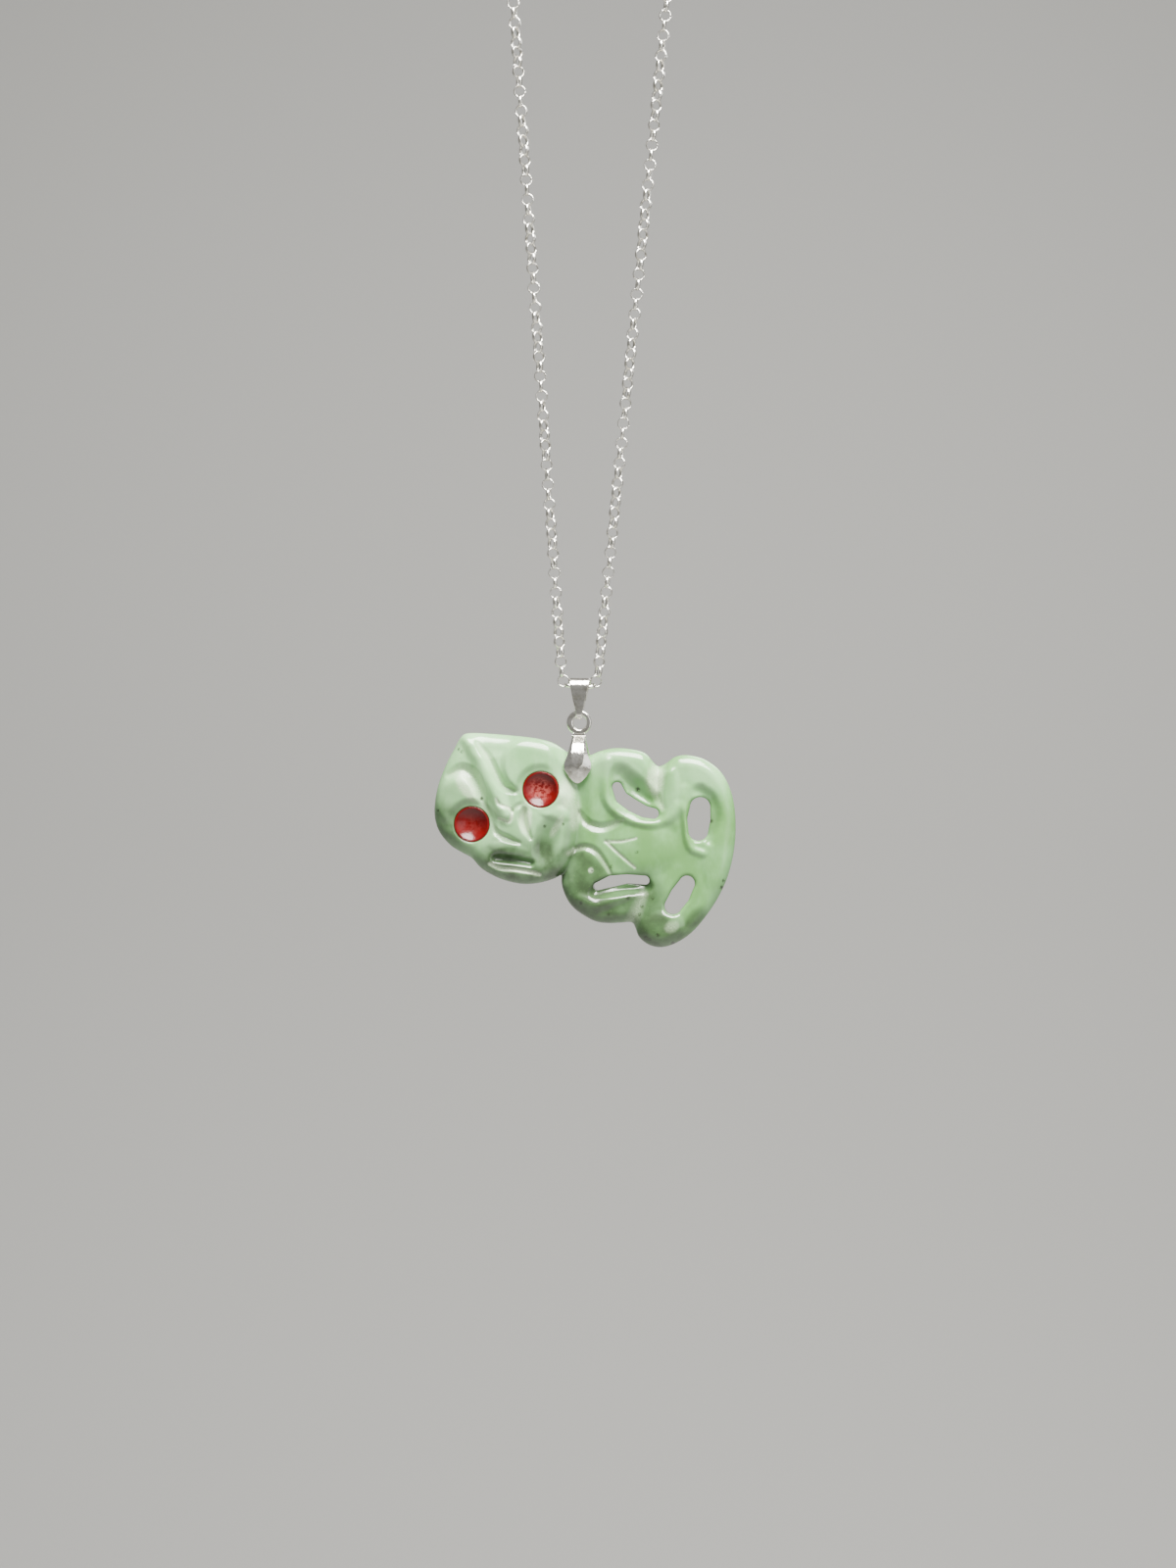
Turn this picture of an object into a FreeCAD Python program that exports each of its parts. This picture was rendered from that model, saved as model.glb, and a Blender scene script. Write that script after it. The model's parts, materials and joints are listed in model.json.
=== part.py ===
"""Hei tiki pendant: a carved jade figure hung sideways from a pinch bail on a silver rolo chain.

Millimetres. The origin is the hang point at the middle of the chain's top, with +Z up, the figure's
face towards -Y and its head towards -X. Everything hangs below the origin.
"""
import FreeCAD, Part
import Mesh
import itertools
import math
import os

# Chain: a loop of 2 mm rolo links, drawn here as a tube of nearly the links' width
LOOP_LENGTH = 450.0
STRAND_LEAN = 4.98
CHAIN_TUBE = 1.9
BEND_RADIUS = 1.2
BEND_HALF_RUN = 1.5
TOP_HALF_RUN = 8.5
LINK_MEAN_RADIUS = 0.75
LINK_WIRE = 0.4

# Clasp and its two jump rings, in line with the chain's top run
CLASP_MEAN_RADIUS = 2.5
CLASP_WIRE = 1.0
CLASP_EYE_RADIUS = 0.95
CLASP_EYE_WIRE = 0.56
JUMP_MEAN_RADIUS = 1.5
JUMP_WIRE = 0.6
LINK_PLAY = 0.1

# Upper bail: a teardrop loop of flat strip round the chain, narrowing to its foot
BAIL_STRIP = 0.38
BAIL_TOP_RADIUS = 1.25
BAIL_CHAIN_GAP = 0.1
BAIL_FOOT_RADIUS = 0.85
BAIL_FOOT_DROP = 0.25
# height from the chain's centre, half width
BAIL_TAPER = [(2.0, 1.55), (0.7, 1.55), (-0.6, 1.3), (-1.9, 1.05), (-3.2, 0.7), (-4.7, 0.42),
              (-5.6, 0.40)]

# Pinch bail: a ring, a collar and two drop-shaped leaves whose prongs enter the drilled hole
CHAIN_TO_RING = 5.72
RING_TO_HOLE = 7.56
RING_DIAMETER = 4.0
RING_HOLE = 2.1
RING_HOLE_SHIFT = 0.15
RING_DEPTH = 1.1
RING_ROUNDING = 0.38
COLLAR_WIDTH = 2.3
COLLAR_DEPTH = 1.3
COLLAR_HEIGHT = 0.25
NECK_WIDTH = 1.9
NECK_DEPTH = 1.0
NECK_SINK = 0.35
PRONG_DIAMETER = 1.0
PRONG_GAP = 0.5
PRONG_ROOT = 0.2
# height from the drilled hole, half width, half width of the flat face, face, side and inner depth
LEAF_SECTIONS = [
    (5.5, 0.95, 0.70, 0.62, 0.50, 0.02),
    (4.9, 1.10, 0.80, 1.35, 1.10, 0.62),
    (4.2, 1.22, 0.86, 2.25, 1.95, 1.50),
    (3.2, 1.45, 0.95, 2.90, 2.60, 2.20),
    (2.3, 1.70, 1.05, 3.15, 2.85, 2.45),
    (1.0, 2.20, 0.80, 3.35, 2.85, 2.45),
    (0.1, 2.15, 0.06, 3.35, 2.80, 2.45),
    (-1.1, 1.35, 0.05, 3.05, 2.70, 2.45),
    (-1.8, 0.70, 0.04, 2.80, 2.62, 2.45),
    (-2.1, 0.16, 0.03, 2.66, 2.58, 2.45),
]

# Stone: levels are distances from the middle plane of the drilled hole
HANG_TURN = 0.85
DRILLED_HOLE = 1.4
GRID = 0.56
FILLED = 0.02
CORNERS = list(itertools.product((0, 1), repeat=3))
STONE_TRIANGLES = 6200
HEAD_LEVEL = 3.65
HEAD_FALL = 0.9
HEAD_MIDDLE = (-10.5, -6.3)
HEAD_REACH = (14.5, 13.5)
HEAD_EDGE = 2.1
HEAD_BACK = 1.8
BODY_LEVEL = 2.05
BODY_EDGE = 1.9
BACK_LEVEL = 2.1
BACK_EDGE = 1.1
SLOT_EDGE = 0.55
SEAT_LEVEL = 2.1
NECK_BLEND = 0.3
# A box that holds the whole stone: u, v and y, each from low to high
STONE_BOX = [(-24.1, 26.2), (-29.4, 7.1), (-5.3, 4.6)]

# Eyes: red inlays with a hollow face; u, v, radius, level of the rim
EYES = {
    "eye_right": (-5.8, -3.1, 2.9, 3.4),
    "eye_left": (-16.8, -8.6, 2.85, 2.9),
}
EYE_POCKET = 1.5
EYE_PLAY = 0.07
EYE_HOLLOW = 1.0
EYE_RIM = 0.18
# The stone runs level for a little way round each eye, then eases into the relief
EYE_LEVEL_ROUND = 0.2
EYE_LEVEL_EASE = 1.3

# Outlines of the stone, seen from the front; u to the right, v up, from the drilled hole
HEAD_OUTLINE = [
    (-17.4, 5.9), (-18.7, 5.3), (-19.8, 3.4), (-21.1, 0.9), (-22.3, -2.2), (-22.9, -5.3), (-22.9, -7.7),
    (-22.1, -10.0), (-20.3, -12.1), (-18.3, -13.3), (-16.9, -14.1), (-15.3, -15.8), (-12.5, -17.3),
    (-9.4, -18.1), (-7.0, -18.1), (-4.7, -17.6), (-2.8, -16.7), (-1.2, -14.7), (-0.3, -11.6),
    (0.0, -7.7), (0.1, -3.8), (0.0, -0.6), (-0.4, 1.5), (-2.0, 3.0), (-4.2, 4.4), (-7.0, 5.1),
    (-10.5, 5.5), (-14.1, 5.8),
]
BODY_OUTLINE = [
    (0.0, 1.5), (1.1, 2.1), (2.2, 2.5), (3.4, 3.0), (5.0, 3.4), (6.6, 3.5), (8.6, 3.3), (10.2, 2.9),
    (11.1, 2.3), (11.9, 1.3), (12.8, 0.6), (14.0, 1.1), (15.2, 2.0), (16.4, 2.35), (18.0, 2.3),
    (20.3, 1.6), (22.7, -0.3), (24.3, -3.4), (25.0, -7.2), (24.9, -11.9), (23.9, -16.6), (22.3, -20.2),
    (20.2, -23.4), (18.0, -25.9), (15.6, -27.5), (13.3, -28.2), (11.2, -27.8), (9.7, -26.6), (9.1, -25.2),
    (8.5, -24.3), (6.9, -24.3), (5.0, -24.4), (2.7, -24.1), (0.3, -22.8), (-1.1, -21.6), (-2.0, -20.2),
    (-2.6, -18.5), (-2.7, -16.8), (-2.2, -12.0), (-2.2, -6.0), (-1.6, -0.5),
]
# Slots cut through the stone, as strokes; u, v, radius
SLOTS = {
    "upper_arm": [(6.2, -2.7, 0.8), (6.9, -4.4, 1.0), (8.6, -5.6, 1.05), (10.5, -6.6, 0.95),
                  (12.0, -6.9, 0.85)],
    "upper_leg": [(19.4, -5.9, 1.6), (19.2, -7.8, 1.83), (19.1, -9.7, 1.55)],
    "lower_leg": [(17.3, -18.0, 1.25), (16.2, -19.9, 1.55), (15.1, -21.6, 1.35)],
    "lower_arm": [(3.1, -18.5, 0.65), (5.3, -17.7, 0.95), (7.8, -17.3, 0.75), (10.6, -17.5, 0.75)],
}
# Grooves, as strokes; u, v, half width, depth
HEAD_GROOVES = {
    "brow_right": [(-15.9, 4.3, 0.5, 0.2), (-14.2, 1.9, 0.9, 0.6), (-13.1, -0.3, 0.9, 0.7),
                   (-12.1, -2.2, 0.9, 0.7), (-10.6, -3.1, 0.8, 0.6), (-8.9, -3.4, 0.6, 0.4)],
    "brow_left": [(-20.4, -0.8, 0.8, 0.3), (-18.4, 0.1, 1.2, 0.6), (-16.7, -0.9, 1.3, 0.8),
                  (-15.7, -2.8, 1.2, 0.8), (-15.1, -4.9, 0.9, 0.6), (-14.4, -6.6, 0.6, 0.3)],
    "nostril_upper": [(-12.8, -4.5, 0.3, 0.15), (-12.3, -5.4, 0.4, 0.35), (-10.9, -6.0, 0.4, 0.35),
                      (-10.3, -6.6, 0.4, 0.35)],
    "nostril_lower": [(-12.4, -7.7, 0.35, 0.25), (-11.6, -7.9, 0.4, 0.35), (-10.8, -8.2, 0.4, 0.35),
                      (-10.4, -7.5, 0.4, 0.3), (-10.3, -6.5, 0.35, 0.3)],
    "eye_to_nose": [(-7.8, -5.1, 0.5, 0.4), (-9.1, -5.5, 0.6, 0.4), (-10.2, -6.3, 0.4, 0.3)],
    "lip_notch": [(-8.4, -6.3, 0.9, 0.8), (-8.6, -7.7, 1.0, 1.1), (-8.2, -9.3, 0.8, 0.9),
                  (-7.4, -10.8, 0.5, 0.4)],
    "lip_left": [(-14.2, -7.9, 0.5, 0.2), (-12.9, -9.8, 0.7, 0.6), (-10.9, -10.9, 0.7, 0.7),
                 (-9.2, -11.5, 0.4, 0.3)],
    "mouth": [(-13.0, -14.0, 0.95, 0.75), (-10.5, -14.2, 1.0, 0.85), (-7.4, -14.7, 0.9, 0.7)],
    "lip_lower": [(-13.9, -14.9, 0.4, 0.15), (-12.2, -15.6, 0.45, 0.35), (-9.8, -15.8, 0.45, 0.35),
                  (-7.8, -16.1, 0.45, 0.35), (-6.0, -16.6, 0.35, 0.15)],
}
BODY_GROOVES = {
    "inner_elbow": [(6.9, -0.9, 2.4, 0.9), (8.9, -2.9, 2.6, 1.5), (11.4, -4.9, 2.2, 1.3)],
    "top_notch": [(12.8, 0.7, 1.7, 0.9), (12.6, -1.8, 1.5, 0.8), (12.8, -4.2, 1.1, 0.5),
                  (13.4, -6.0, 0.7, 0.2)],
    "inner_knee": [(19.4, -3.4, 1.6, 0.7), (21.0, -4.9, 1.7, 0.8), (21.7, -8.0, 1.5, 0.6),
                   (20.9, -11.0, 1.3, 0.4)],
    "upper_arm_line": [(0.1, -6.8, 0.7, 0.5), (1.6, -8.5, 0.9, 0.6), (3.6, -9.1, 0.9, 0.6),
                       (5.5, -8.7, 0.8, 0.5), (7.2, -7.8, 0.5, 0.2)],
    "lower_arm_line": [(-1.4, -13.2, 0.6, 0.4), (-0.2, -12.5, 0.6, 0.5), (1.4, -12.2, 0.7, 0.5),
                       (3.0, -13.0, 0.7, 0.5), (4.2, -14.6, 0.6, 0.5), (5.2, -16.4, 0.4, 0.3)],
    "belly_upper": [(4.4, -11.3, 0.25, 0.15), (6.9, -11.3, 0.3, 0.22), (9.3, -10.8, 0.25, 0.12)],
    "belly_lower": [(4.4, -11.3, 0.3, 0.22), (6.7, -13.4, 0.32, 0.28), (9.1, -15.5, 0.28, 0.15)],
    "lower_elbow": [(2.8, -19.4, 1.3, 0.9), (6.4, -18.8, 1.6, 1.3), (10.8, -18.5, 1.5, 1.3)],
    "bottom_notch": [(8.4, -24.6, 1.3, 0.9), (9.3, -22.4, 1.3, 0.6), (10.4, -19.8, 1.0, 0.3)],
    "neck": [(0.2, 1.8, 2.2, 0.6), (0.2, -3.0, 2.2, 0.6), (0.3, -8.0, 2.2, 0.6), (-0.6, -13.0, 2.0, 0.6),
             (-2.4, -17.0, 1.8, 0.6)],
}
# Raised ridges, as strokes; u, v, half width, height
HEAD_RIDGES = {
    "nose": [(-17.6, 4.9, 1.6, 0.5), (-15.6, 2.0, 2.0, 0.75), (-14.2, -1.3, 2.1, 0.8),
             (-12.6, -4.4, 1.9, 0.7), (-11.4, -7.0, 1.5, 0.5)],
}
BODY_RIDGES = {
    "upper_arm_rim": [(4.7, 1.2, 1.2, 0.2), (4.4, -2.2, 1.3, 0.5), (4.9, -5.2, 1.2, 0.6),
                      (7.4, -7.5, 1.1, 0.6), (11.0, -8.5, 1.1, 0.5), (13.9, -8.0, 1.2, 0.4),
                      (16.0, -6.0, 1.6, 0.3)],
    "upper_leg_rim": [(17.0, -3.0, 1.2, 0.2), (17.0, -7.5, 1.0, 0.5), (17.7, -12.0, 1.0, 0.4),
                      (19.8, -13.2, 1.0, 0.3)],
    "lower_arm": [(0.6, -20.3, 1.2, 0.3), (3.0, -21.4, 1.5, 0.55), (5.4, -20.7, 1.4, 0.5),
                  (8.0, -19.9, 1.1, 0.3)],
    "thigh": [(14.8, -0.5, 1.5, 0.3), (15.3, -4.0, 2.0, 0.35), (15.0, -8.0, 2.0, 0.2)],
}
# Swells and hollows; u, v, half length, half width, turn, height
HEAD_SWELLS = {
    "nose_tip": (-11.5, -7.0, 2.2, 1.6, -60, 0.35),
    "mouth_right": (-4.9, -11.2, 4.4, 2.4, 75, -0.75),
    "lip_right": (-3.9, -6.6, 3.4, 1.5, -20, 0.35),
    "lip_left": (-11.0, -12.4, 3.5, 1.3, -10, 0.3),
    "forehead": (-13.5, 4.2, 4.0, 2.4, 10, -0.25),
    "cheek": (-18.0, -12.0, 3.5, 3.0, 0, -0.3),
}
BODY_SWELLS = {
    "belly": (10.5, -12.3, 6.0, 5.0, 0, 0.55),
    "lower_hand": (2.6, -16.5, 4.4, 4.0, 0, 0.1),
    "lower_knee": (13.7, -24.9, 3.6, 3.0, 20, 0.6),
    "outer_leg": (22.0, -14.0, 2.6, 7.0, 0, 0.25),
}
# Brow domes; u, v, radius, width of the rim's slope, height
BROWS = {
    "right": (-7.3, 0.8, 5.1, 1.3, 0.75),
    "left": (-19.2, -4.9, 4.4, 1.6, 0.45),
}
# Seat under the leaves, where the stone is kept low; u, v
SEAT = [(0.0, -0.6), (0.0, 2.6)]
SEAT_RADIUS = 1.4
SEAT_RISE = 0.3
SEAT_POWER = 1.6
SEAT_BLEND = 0.7

# Densities in grams per cubic millimetre
JADE_DENSITY = 2.98e-3
GLASS_DENSITY = 2.4e-3


def rad(degrees):
    return math.radians(degrees)


# Where things hang: half the loop is half a run, a bend, a strand, a top corner and half the top run
lean_s = math.sin(rad(STRAND_LEAN))
lean_c = math.cos(rad(STRAND_LEAN))
bend_turn = rad(90 - STRAND_LEAN)
corner_turn = rad(90 + STRAND_LEAN)
strand_low = (BEND_HALF_RUN + BEND_RADIUS * math.sin(bend_turn), BEND_RADIUS * (1 - math.cos(bend_turn)))
left_over = LOOP_LENGTH / 2 - BEND_HALF_RUN - BEND_RADIUS * bend_turn - TOP_HALF_RUN
strand_length = (left_over - corner_turn * (strand_low[0] - TOP_HALF_RUN) / lean_c) / (
    1 + corner_turn * lean_s / lean_c)
strand_high = (strand_low[0] + strand_length * lean_s, strand_low[1] + strand_length * lean_c)
top_radius = (strand_high[0] - TOP_HALF_RUN) / lean_c
loop_height = strand_high[1] + top_radius * (1 + lean_s)
Z_CHAIN = -loop_height
Z_RING = Z_CHAIN - CHAIN_TO_RING
Z_HOLE = Z_RING - RING_TO_HOLE


def export(name, shape):
    """Write one piece and say how large it is."""
    shape.exportStep(os.path.join("parts", name + ".step"))
    box = shape.BoundBox
    print("%-16s %9.2f mm3 faces %5d  x %.2f %.2f  y %.2f %.2f  z %.2f %.2f valid %s solids %d" % (
        name, shape.Volume, len(shape.Faces), box.XMin, box.XMax, box.YMin, box.YMax, box.ZMin, box.ZMax,
        shape.isValid(), len(shape.Solids)))


def point(x, y, z):
    return FreeCAD.Vector(x, y, z)


def torus(centre, mean_radius, wire, normal):
    return Part.makeTorus(mean_radius, wire / 2, centre, normal)


# The stone: a field that is negative inside, from its outlines, its levels and its relief

def smooth(q):
    """Ease from 0 to 1 with level ends."""
    q = min(max(q, 0.0), 1.0)
    return q * q * (3 - 2 * q)


def curve(rows, closed, steps):
    """Points of a smooth curve through the rows, with every column of the rows eased alike."""
    count = len(rows)
    spans = count if closed else count - 1
    points = []
    for span in range(spans):
        if closed:
            four = [rows[(span + k - 1) % count] for k in range(4)]
        else:
            four = [rows[min(max(span + k - 1, 0), count - 1)] for k in range(4)]
        for step in range(steps):
            t = step / steps
            points.append(tuple(
                b + 0.5 * t * (c - a + t * (2 * a - 5 * b + 4 * c - d + t * (3 * b - a - 3 * c + d)))
                for a, b, c, d in zip(*four)))
    if not closed:
        points.append(rows[-1])
    return points


def segment_distance(u, v, a, b):
    """Distance to a segment and how far along it the nearest point lies."""
    eu = b[0] - a[0]
    ev = b[1] - a[1]
    t = ((u - a[0]) * eu + (v - a[1]) * ev) / (eu * eu + ev * ev)
    t = min(max(t, 0.0), 1.0)
    return math.hypot(u - a[0] - t * eu, v - a[1] - t * ev), t


def outline_distance(u, v, points):
    """Signed distance to a closed outline, negative inside."""
    best = 1e9
    inside = False
    a = points[-1]
    for b in points:
        best = min(best, segment_distance(u, v, a, b)[0])
        if (a[1] > v) != (b[1] > v) and u < (b[0] - a[0]) * (v - a[1]) / (b[1] - a[1]) + a[0]:
            inside = not inside
        a = b
    return -best if inside else best


def slot_distance(u, v, rows):
    """Signed distance to a slot of changing width, negative in the slot."""
    best = 1e9
    for a, b in zip(rows[:-1], rows[1:]):
        distance, t = segment_distance(u, v, a, b)
        best = min(best, distance - a[2] - t * (b[2] - a[2]))
    return best


class Stroke:
    """A groove or ridge along a curve, with its own box so that far points skip it."""

    def __init__(self, rows):
        self.rows = curve(rows, False, 4)
        reach = max(row[2] for row in rows)
        self.low = (min(row[0] for row in self.rows) - reach, min(row[1] for row in self.rows) - reach)
        self.high = (max(row[0] for row in self.rows) + reach, max(row[1] for row in self.rows) + reach)

    def amount(self, u, v, sharp):
        if not (self.low[0] < u < self.high[0] and self.low[1] < v < self.high[1]):
            return 0.0
        best = 1e9
        width = 1.0
        height = 0.0
        for a, b in zip(self.rows[:-1], self.rows[1:]):
            distance, t = segment_distance(u, v, a, b)
            if distance < best:
                best = distance
                width = a[2] + t * (b[2] - a[2])
                height = a[3] + t * (b[3] - a[3])
        q = 1 - best / width
        return height * (max(q, 0.0) if sharp else smooth(q))


def swell(u, v, row):
    """A smooth oval hill, or a hollow where its height is negative."""
    cu, cv, along, across, turn, height = row
    c = math.cos(rad(turn))
    s = math.sin(rad(turn))
    a = ((u - cu) * c + (v - cv) * s) / along
    b = ((v - cv) * c - (u - cu) * s) / across
    return height * smooth(1 - a * a - b * b)


def soft_min(a, b, blend):
    h = min(max(0.5 + 0.5 * (b - a) / blend, 0.0), 1.0)
    return b + (a - b) * h - blend * h * (1 - h)


def rounded(a, b, radius):
    """Where both fields are negative, with the edge between them rounded."""
    p = a + radius
    q = b + radius
    return min(max(p, q), 0.0) + math.hypot(max(p, 0.0), max(q, 0.0)) - radius


ROUND_GROOVES = ("lip_notch", "mouth", "inner_elbow", "inner_knee", "lower_elbow", "neck")
head_strokes = [(Stroke(rows), -1, name not in ROUND_GROOVES) for name, rows in HEAD_GROOVES.items()]
head_strokes += [(Stroke(rows), 1, False) for rows in HEAD_RIDGES.values()]
body_strokes = [(Stroke(rows), -1, name not in ROUND_GROOVES) for name, rows in BODY_GROOVES.items()]
body_strokes += [(Stroke(rows), 1, False) for rows in BODY_RIDGES.values()]


def seat_cap(u, v):
    """Highest level that leaves room for the leaves."""
    distance = segment_distance(u, v, SEAT[0], SEAT[1])[0]
    return SEAT_LEVEL + SEAT_RISE * max(distance - SEAT_RADIUS, 0.0) ** SEAT_POWER


def head_fall(u, v):
    """From 0 in the middle of the face to 1 at its rim."""
    return smooth(math.hypot((u - HEAD_MIDDLE[0]) / HEAD_REACH[0], (v - HEAD_MIDDLE[1]) / HEAD_REACH[1]))


def head_level(u, v):
    level = HEAD_LEVEL - HEAD_FALL * head_fall(u, v)
    for cu, cv, radius, rim, height in BROWS.values():
        level += height * smooth((radius - math.hypot(u - cu, v - cv)) / rim)
    level += sum(swell(u, v, row) for row in HEAD_SWELLS.values())
    level += sum(sign * stroke.amount(u, v, sharp) for stroke, sign, sharp in head_strokes)
    for cu, cv, radius, rim_level in EYES.values():
        level += (rim_level - level) * smooth(
            (radius + EYE_LEVEL_ROUND + EYE_LEVEL_EASE - math.hypot(u - cu, v - cv)) / EYE_LEVEL_EASE)
    return soft_min(level, seat_cap(u, v), SEAT_BLEND)


def body_level(u, v):
    level = BODY_LEVEL + sum(swell(u, v, row) for row in BODY_SWELLS.values())
    level += sum(sign * stroke.amount(u, v, sharp) for stroke, sign, sharp in body_strokes)
    return soft_min(level, seat_cap(u, v), SEAT_BLEND)


def column(u, v, head_points, body_points):
    """Everything about one place of the front view that does not change with depth."""
    head = outline_distance(u, v, head_points)
    body = outline_distance(u, v, body_points)
    slot = -min(slot_distance(u, v, rows) for rows in SLOTS.values())
    near_head = head < 2 * GRID
    near_body = body < 2 * GRID
    front_head = head_level(u, v) if near_head else HEAD_LEVEL
    front_body = body_level(u, v) if near_body else BODY_LEVEL
    back_head = soft_min(BACK_LEVEL + HEAD_BACK * (1 - head_fall(u, v)), seat_cap(u, v), SEAT_BLEND)
    return head, body, slot, front_head, front_body, back_head


def field(place, y):
    head, body, slot, front_head, front_body, back_head = place
    in_head = max(rounded(head, -y - front_head, HEAD_EDGE), rounded(head, y - back_head, BACK_EDGE))
    in_body = max(rounded(body, -y - front_body, BODY_EDGE), rounded(body, y - BACK_LEVEL, BACK_EDGE),
                  rounded(slot, -y - front_body, SLOT_EDGE), rounded(slot, y - BACK_LEVEL, SLOT_EDGE))
    return soft_min(in_head, in_body, NECK_BLEND)


def axis_steps(low, high):
    count = int(math.ceil((high - low) / GRID)) + 1
    return [low + i * GRID for i in range(count)]


def pinched_corners(inside):
    """Corners of a cell, or of one of its faces, where like meets like only across a diagonal."""
    for n in range(3):
        for side in (0, 1):
            face = [corner for corner in CORNERS if corner[n] == side]
            first, second, third, fourth = (inside[corner] for corner in face)
            if first == fourth and second == third and first != second:
                return face
    for kind in (True, False):
        alike = [corner for corner in CORNERS if inside[corner] == kind]
        if len(alike) == 2 and all(p != q for p, q in zip(*alike)):
            return CORNERS
    return []


def fill_pinches(values):
    """Fill the lowest outside corner of each pinch, so that the surface never touches itself."""
    cells = [range(len(values) - 1), range(len(values[0]) - 1), range(len(values[0][0]) - 1)]
    changed = True
    while changed:
        changed = False
        for i, j, k in itertools.product(*cells):
            held = {c: values[i + c[0]][j + c[1]][k + c[2]] for c in CORNERS}
            inside = {c: held[c] < 0 for c in CORNERS}
            outside = [c for c in pinched_corners(inside) if not inside[c]] if any(inside.values()) else []
            if outside:
                low = min(outside, key=held.get)
                values[i + low[0]][j + low[1]][k + low[2]] = -FILLED
                changed = True


def stone_mesh():
    """Triangles of the field's zero surface: one point in each cell that it crosses."""
    us, vs, ys = (axis_steps(low, high) for low, high in STONE_BOX)
    head_points = curve(HEAD_OUTLINE, True, 4)
    body_points = curve(BODY_OUTLINE, True, 4)
    values = []
    for u in us:
        row = []
        for v in vs:
            place = column(u, v, head_points, body_points)
            row.append([field(place, y) for y in ys])
        values.append(row)
    fill_pinches(values)
    edges = [(a, b) for a, b in itertools.combinations(CORNERS, 2) if sum(p != q for p, q in zip(a, b)) == 1]
    cell_points = {}
    for i in range(len(us) - 1):
        for j in range(len(vs) - 1):
            for k in range(len(ys) - 1):
                held = {c: values[i + c[0]][j + c[1]][k + c[2]] for c in CORNERS}
                if min(held.values()) >= 0 or max(held.values()) < 0:
                    continue
                hits = []
                for a, b in edges:
                    if (held[a] < 0) != (held[b] < 0):
                        t = held[a] / (held[a] - held[b])
                        hits.append([a[n] + t * (b[n] - a[n]) for n in range(3)])
                middle = [sum(hit[n] for hit in hits) / len(hits) for n in range(3)]
                low = (us[i], vs[j], ys[k])
                cell_points[(i, j, k)] = tuple(low[n] + middle[n] * GRID for n in range(3))
    turn_c = math.cos(rad(HANG_TURN))
    turn_s = math.sin(rad(HANG_TURN))

    def place(cell):
        u, v, y = cell_points[cell]
        return (u * turn_c - v * turn_s, y, Z_HOLE + u * turn_s + v * turn_c)

    triangles = []
    steps = ((1, 0, 0), (0, 1, 0), (0, 0, 1))
    for cell in cell_points:
        here = values[cell[0]][cell[1]][cell[2]] < 0
        for n in range(3):
            ahead = tuple(cell[m] + steps[n][m] for m in range(3))
            there = values[ahead[0]][ahead[1]][ahead[2]] < 0
            if here == there:
                continue
            p = steps[(n + 1) % 3]
            q = steps[(n + 2) % 3]
            quad = [place(tuple(cell[m] - a * p[m] - b * q[m] for m in range(3)))
                    for a, b in ((0, 0), (1, 0), (1, 1), (0, 1))]
            if here:
                quad.reverse()
            triangles.append((quad[0], quad[1], quad[2]))
            triangles.append((quad[0], quad[2], quad[3]))
    return Mesh.Mesh(triangles)


def build_stone():
    mesh = stone_mesh()
    print("stone mesh", mesh.CountFacets, "volume", round(mesh.Volume, 1))
    mesh.decimate(STONE_TRIANGLES)
    mesh.harmonizeNormals()
    print("thinned to", mesh.CountFacets, "volume", round(mesh.Volume, 1), "solid", mesh.isSolid())
    shape = Part.Shape()
    shape.makeShapeFromMesh(mesh.Topology, 0.001)
    solid = Part.makeSolid(Part.Shell(shape.Faces))
    if solid.Volume < 0:
        solid.reverse()
    front, back = STONE_BOX[2]
    tools = [Part.makeCylinder(DRILLED_HOLE / 2, back - front, point(0, front, Z_HOLE), point(0, 1, 0))]
    for u, v, radius, level in EYES.values():
        depth = EYE_POCKET - level - front
        tools.append(Part.makeCylinder(radius, depth, stone_point(u, v, front), point(0, 1, 0)))
    return solid.cut(tools).Solids[0]


def stone_point(u, v, y):
    """A place on the drawing of the stone, as it hangs."""
    c = math.cos(rad(HANG_TURN))
    s = math.sin(rad(HANG_TURN))
    return point(u * c - v * s, y, Z_HOLE + u * s + v * c)


def build_eye(u, v, radius, level):
    """A disc with a rim and a round hollow, sunk in its pocket."""
    outer = radius - EYE_PLAY
    inner = outer - EYE_RIM
    bottom = EYE_POCKET - EYE_PLAY
    ball = (inner * inner + EYE_HOLLOW * EYE_HOLLOW) / (2 * EYE_HOLLOW)
    middle = math.asin(inner / ball) / 2
    rim = point(inner, 0, 0)
    deep = point(0, EYE_HOLLOW, 0)
    on_arc = point(ball * math.sin(middle), EYE_HOLLOW - ball * (1 - math.cos(middle)), 0)
    outline = Part.Wire([
        Part.Arc(deep, on_arc, rim).toShape(),
        Part.makeLine(rim, point(outer, 0, 0)),
        Part.makeLine(point(outer, 0, 0), point(outer, bottom, 0)),
        Part.makeLine(point(outer, bottom, 0), point(0, bottom, 0)),
        Part.makeLine(point(0, bottom, 0), deep),
    ])
    disc = Part.Face(outline).revolve(point(0, 0, 0), point(0, 1, 0), 360)
    disc.translate(stone_point(u, v, -level))
    return disc


# The metal

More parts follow.
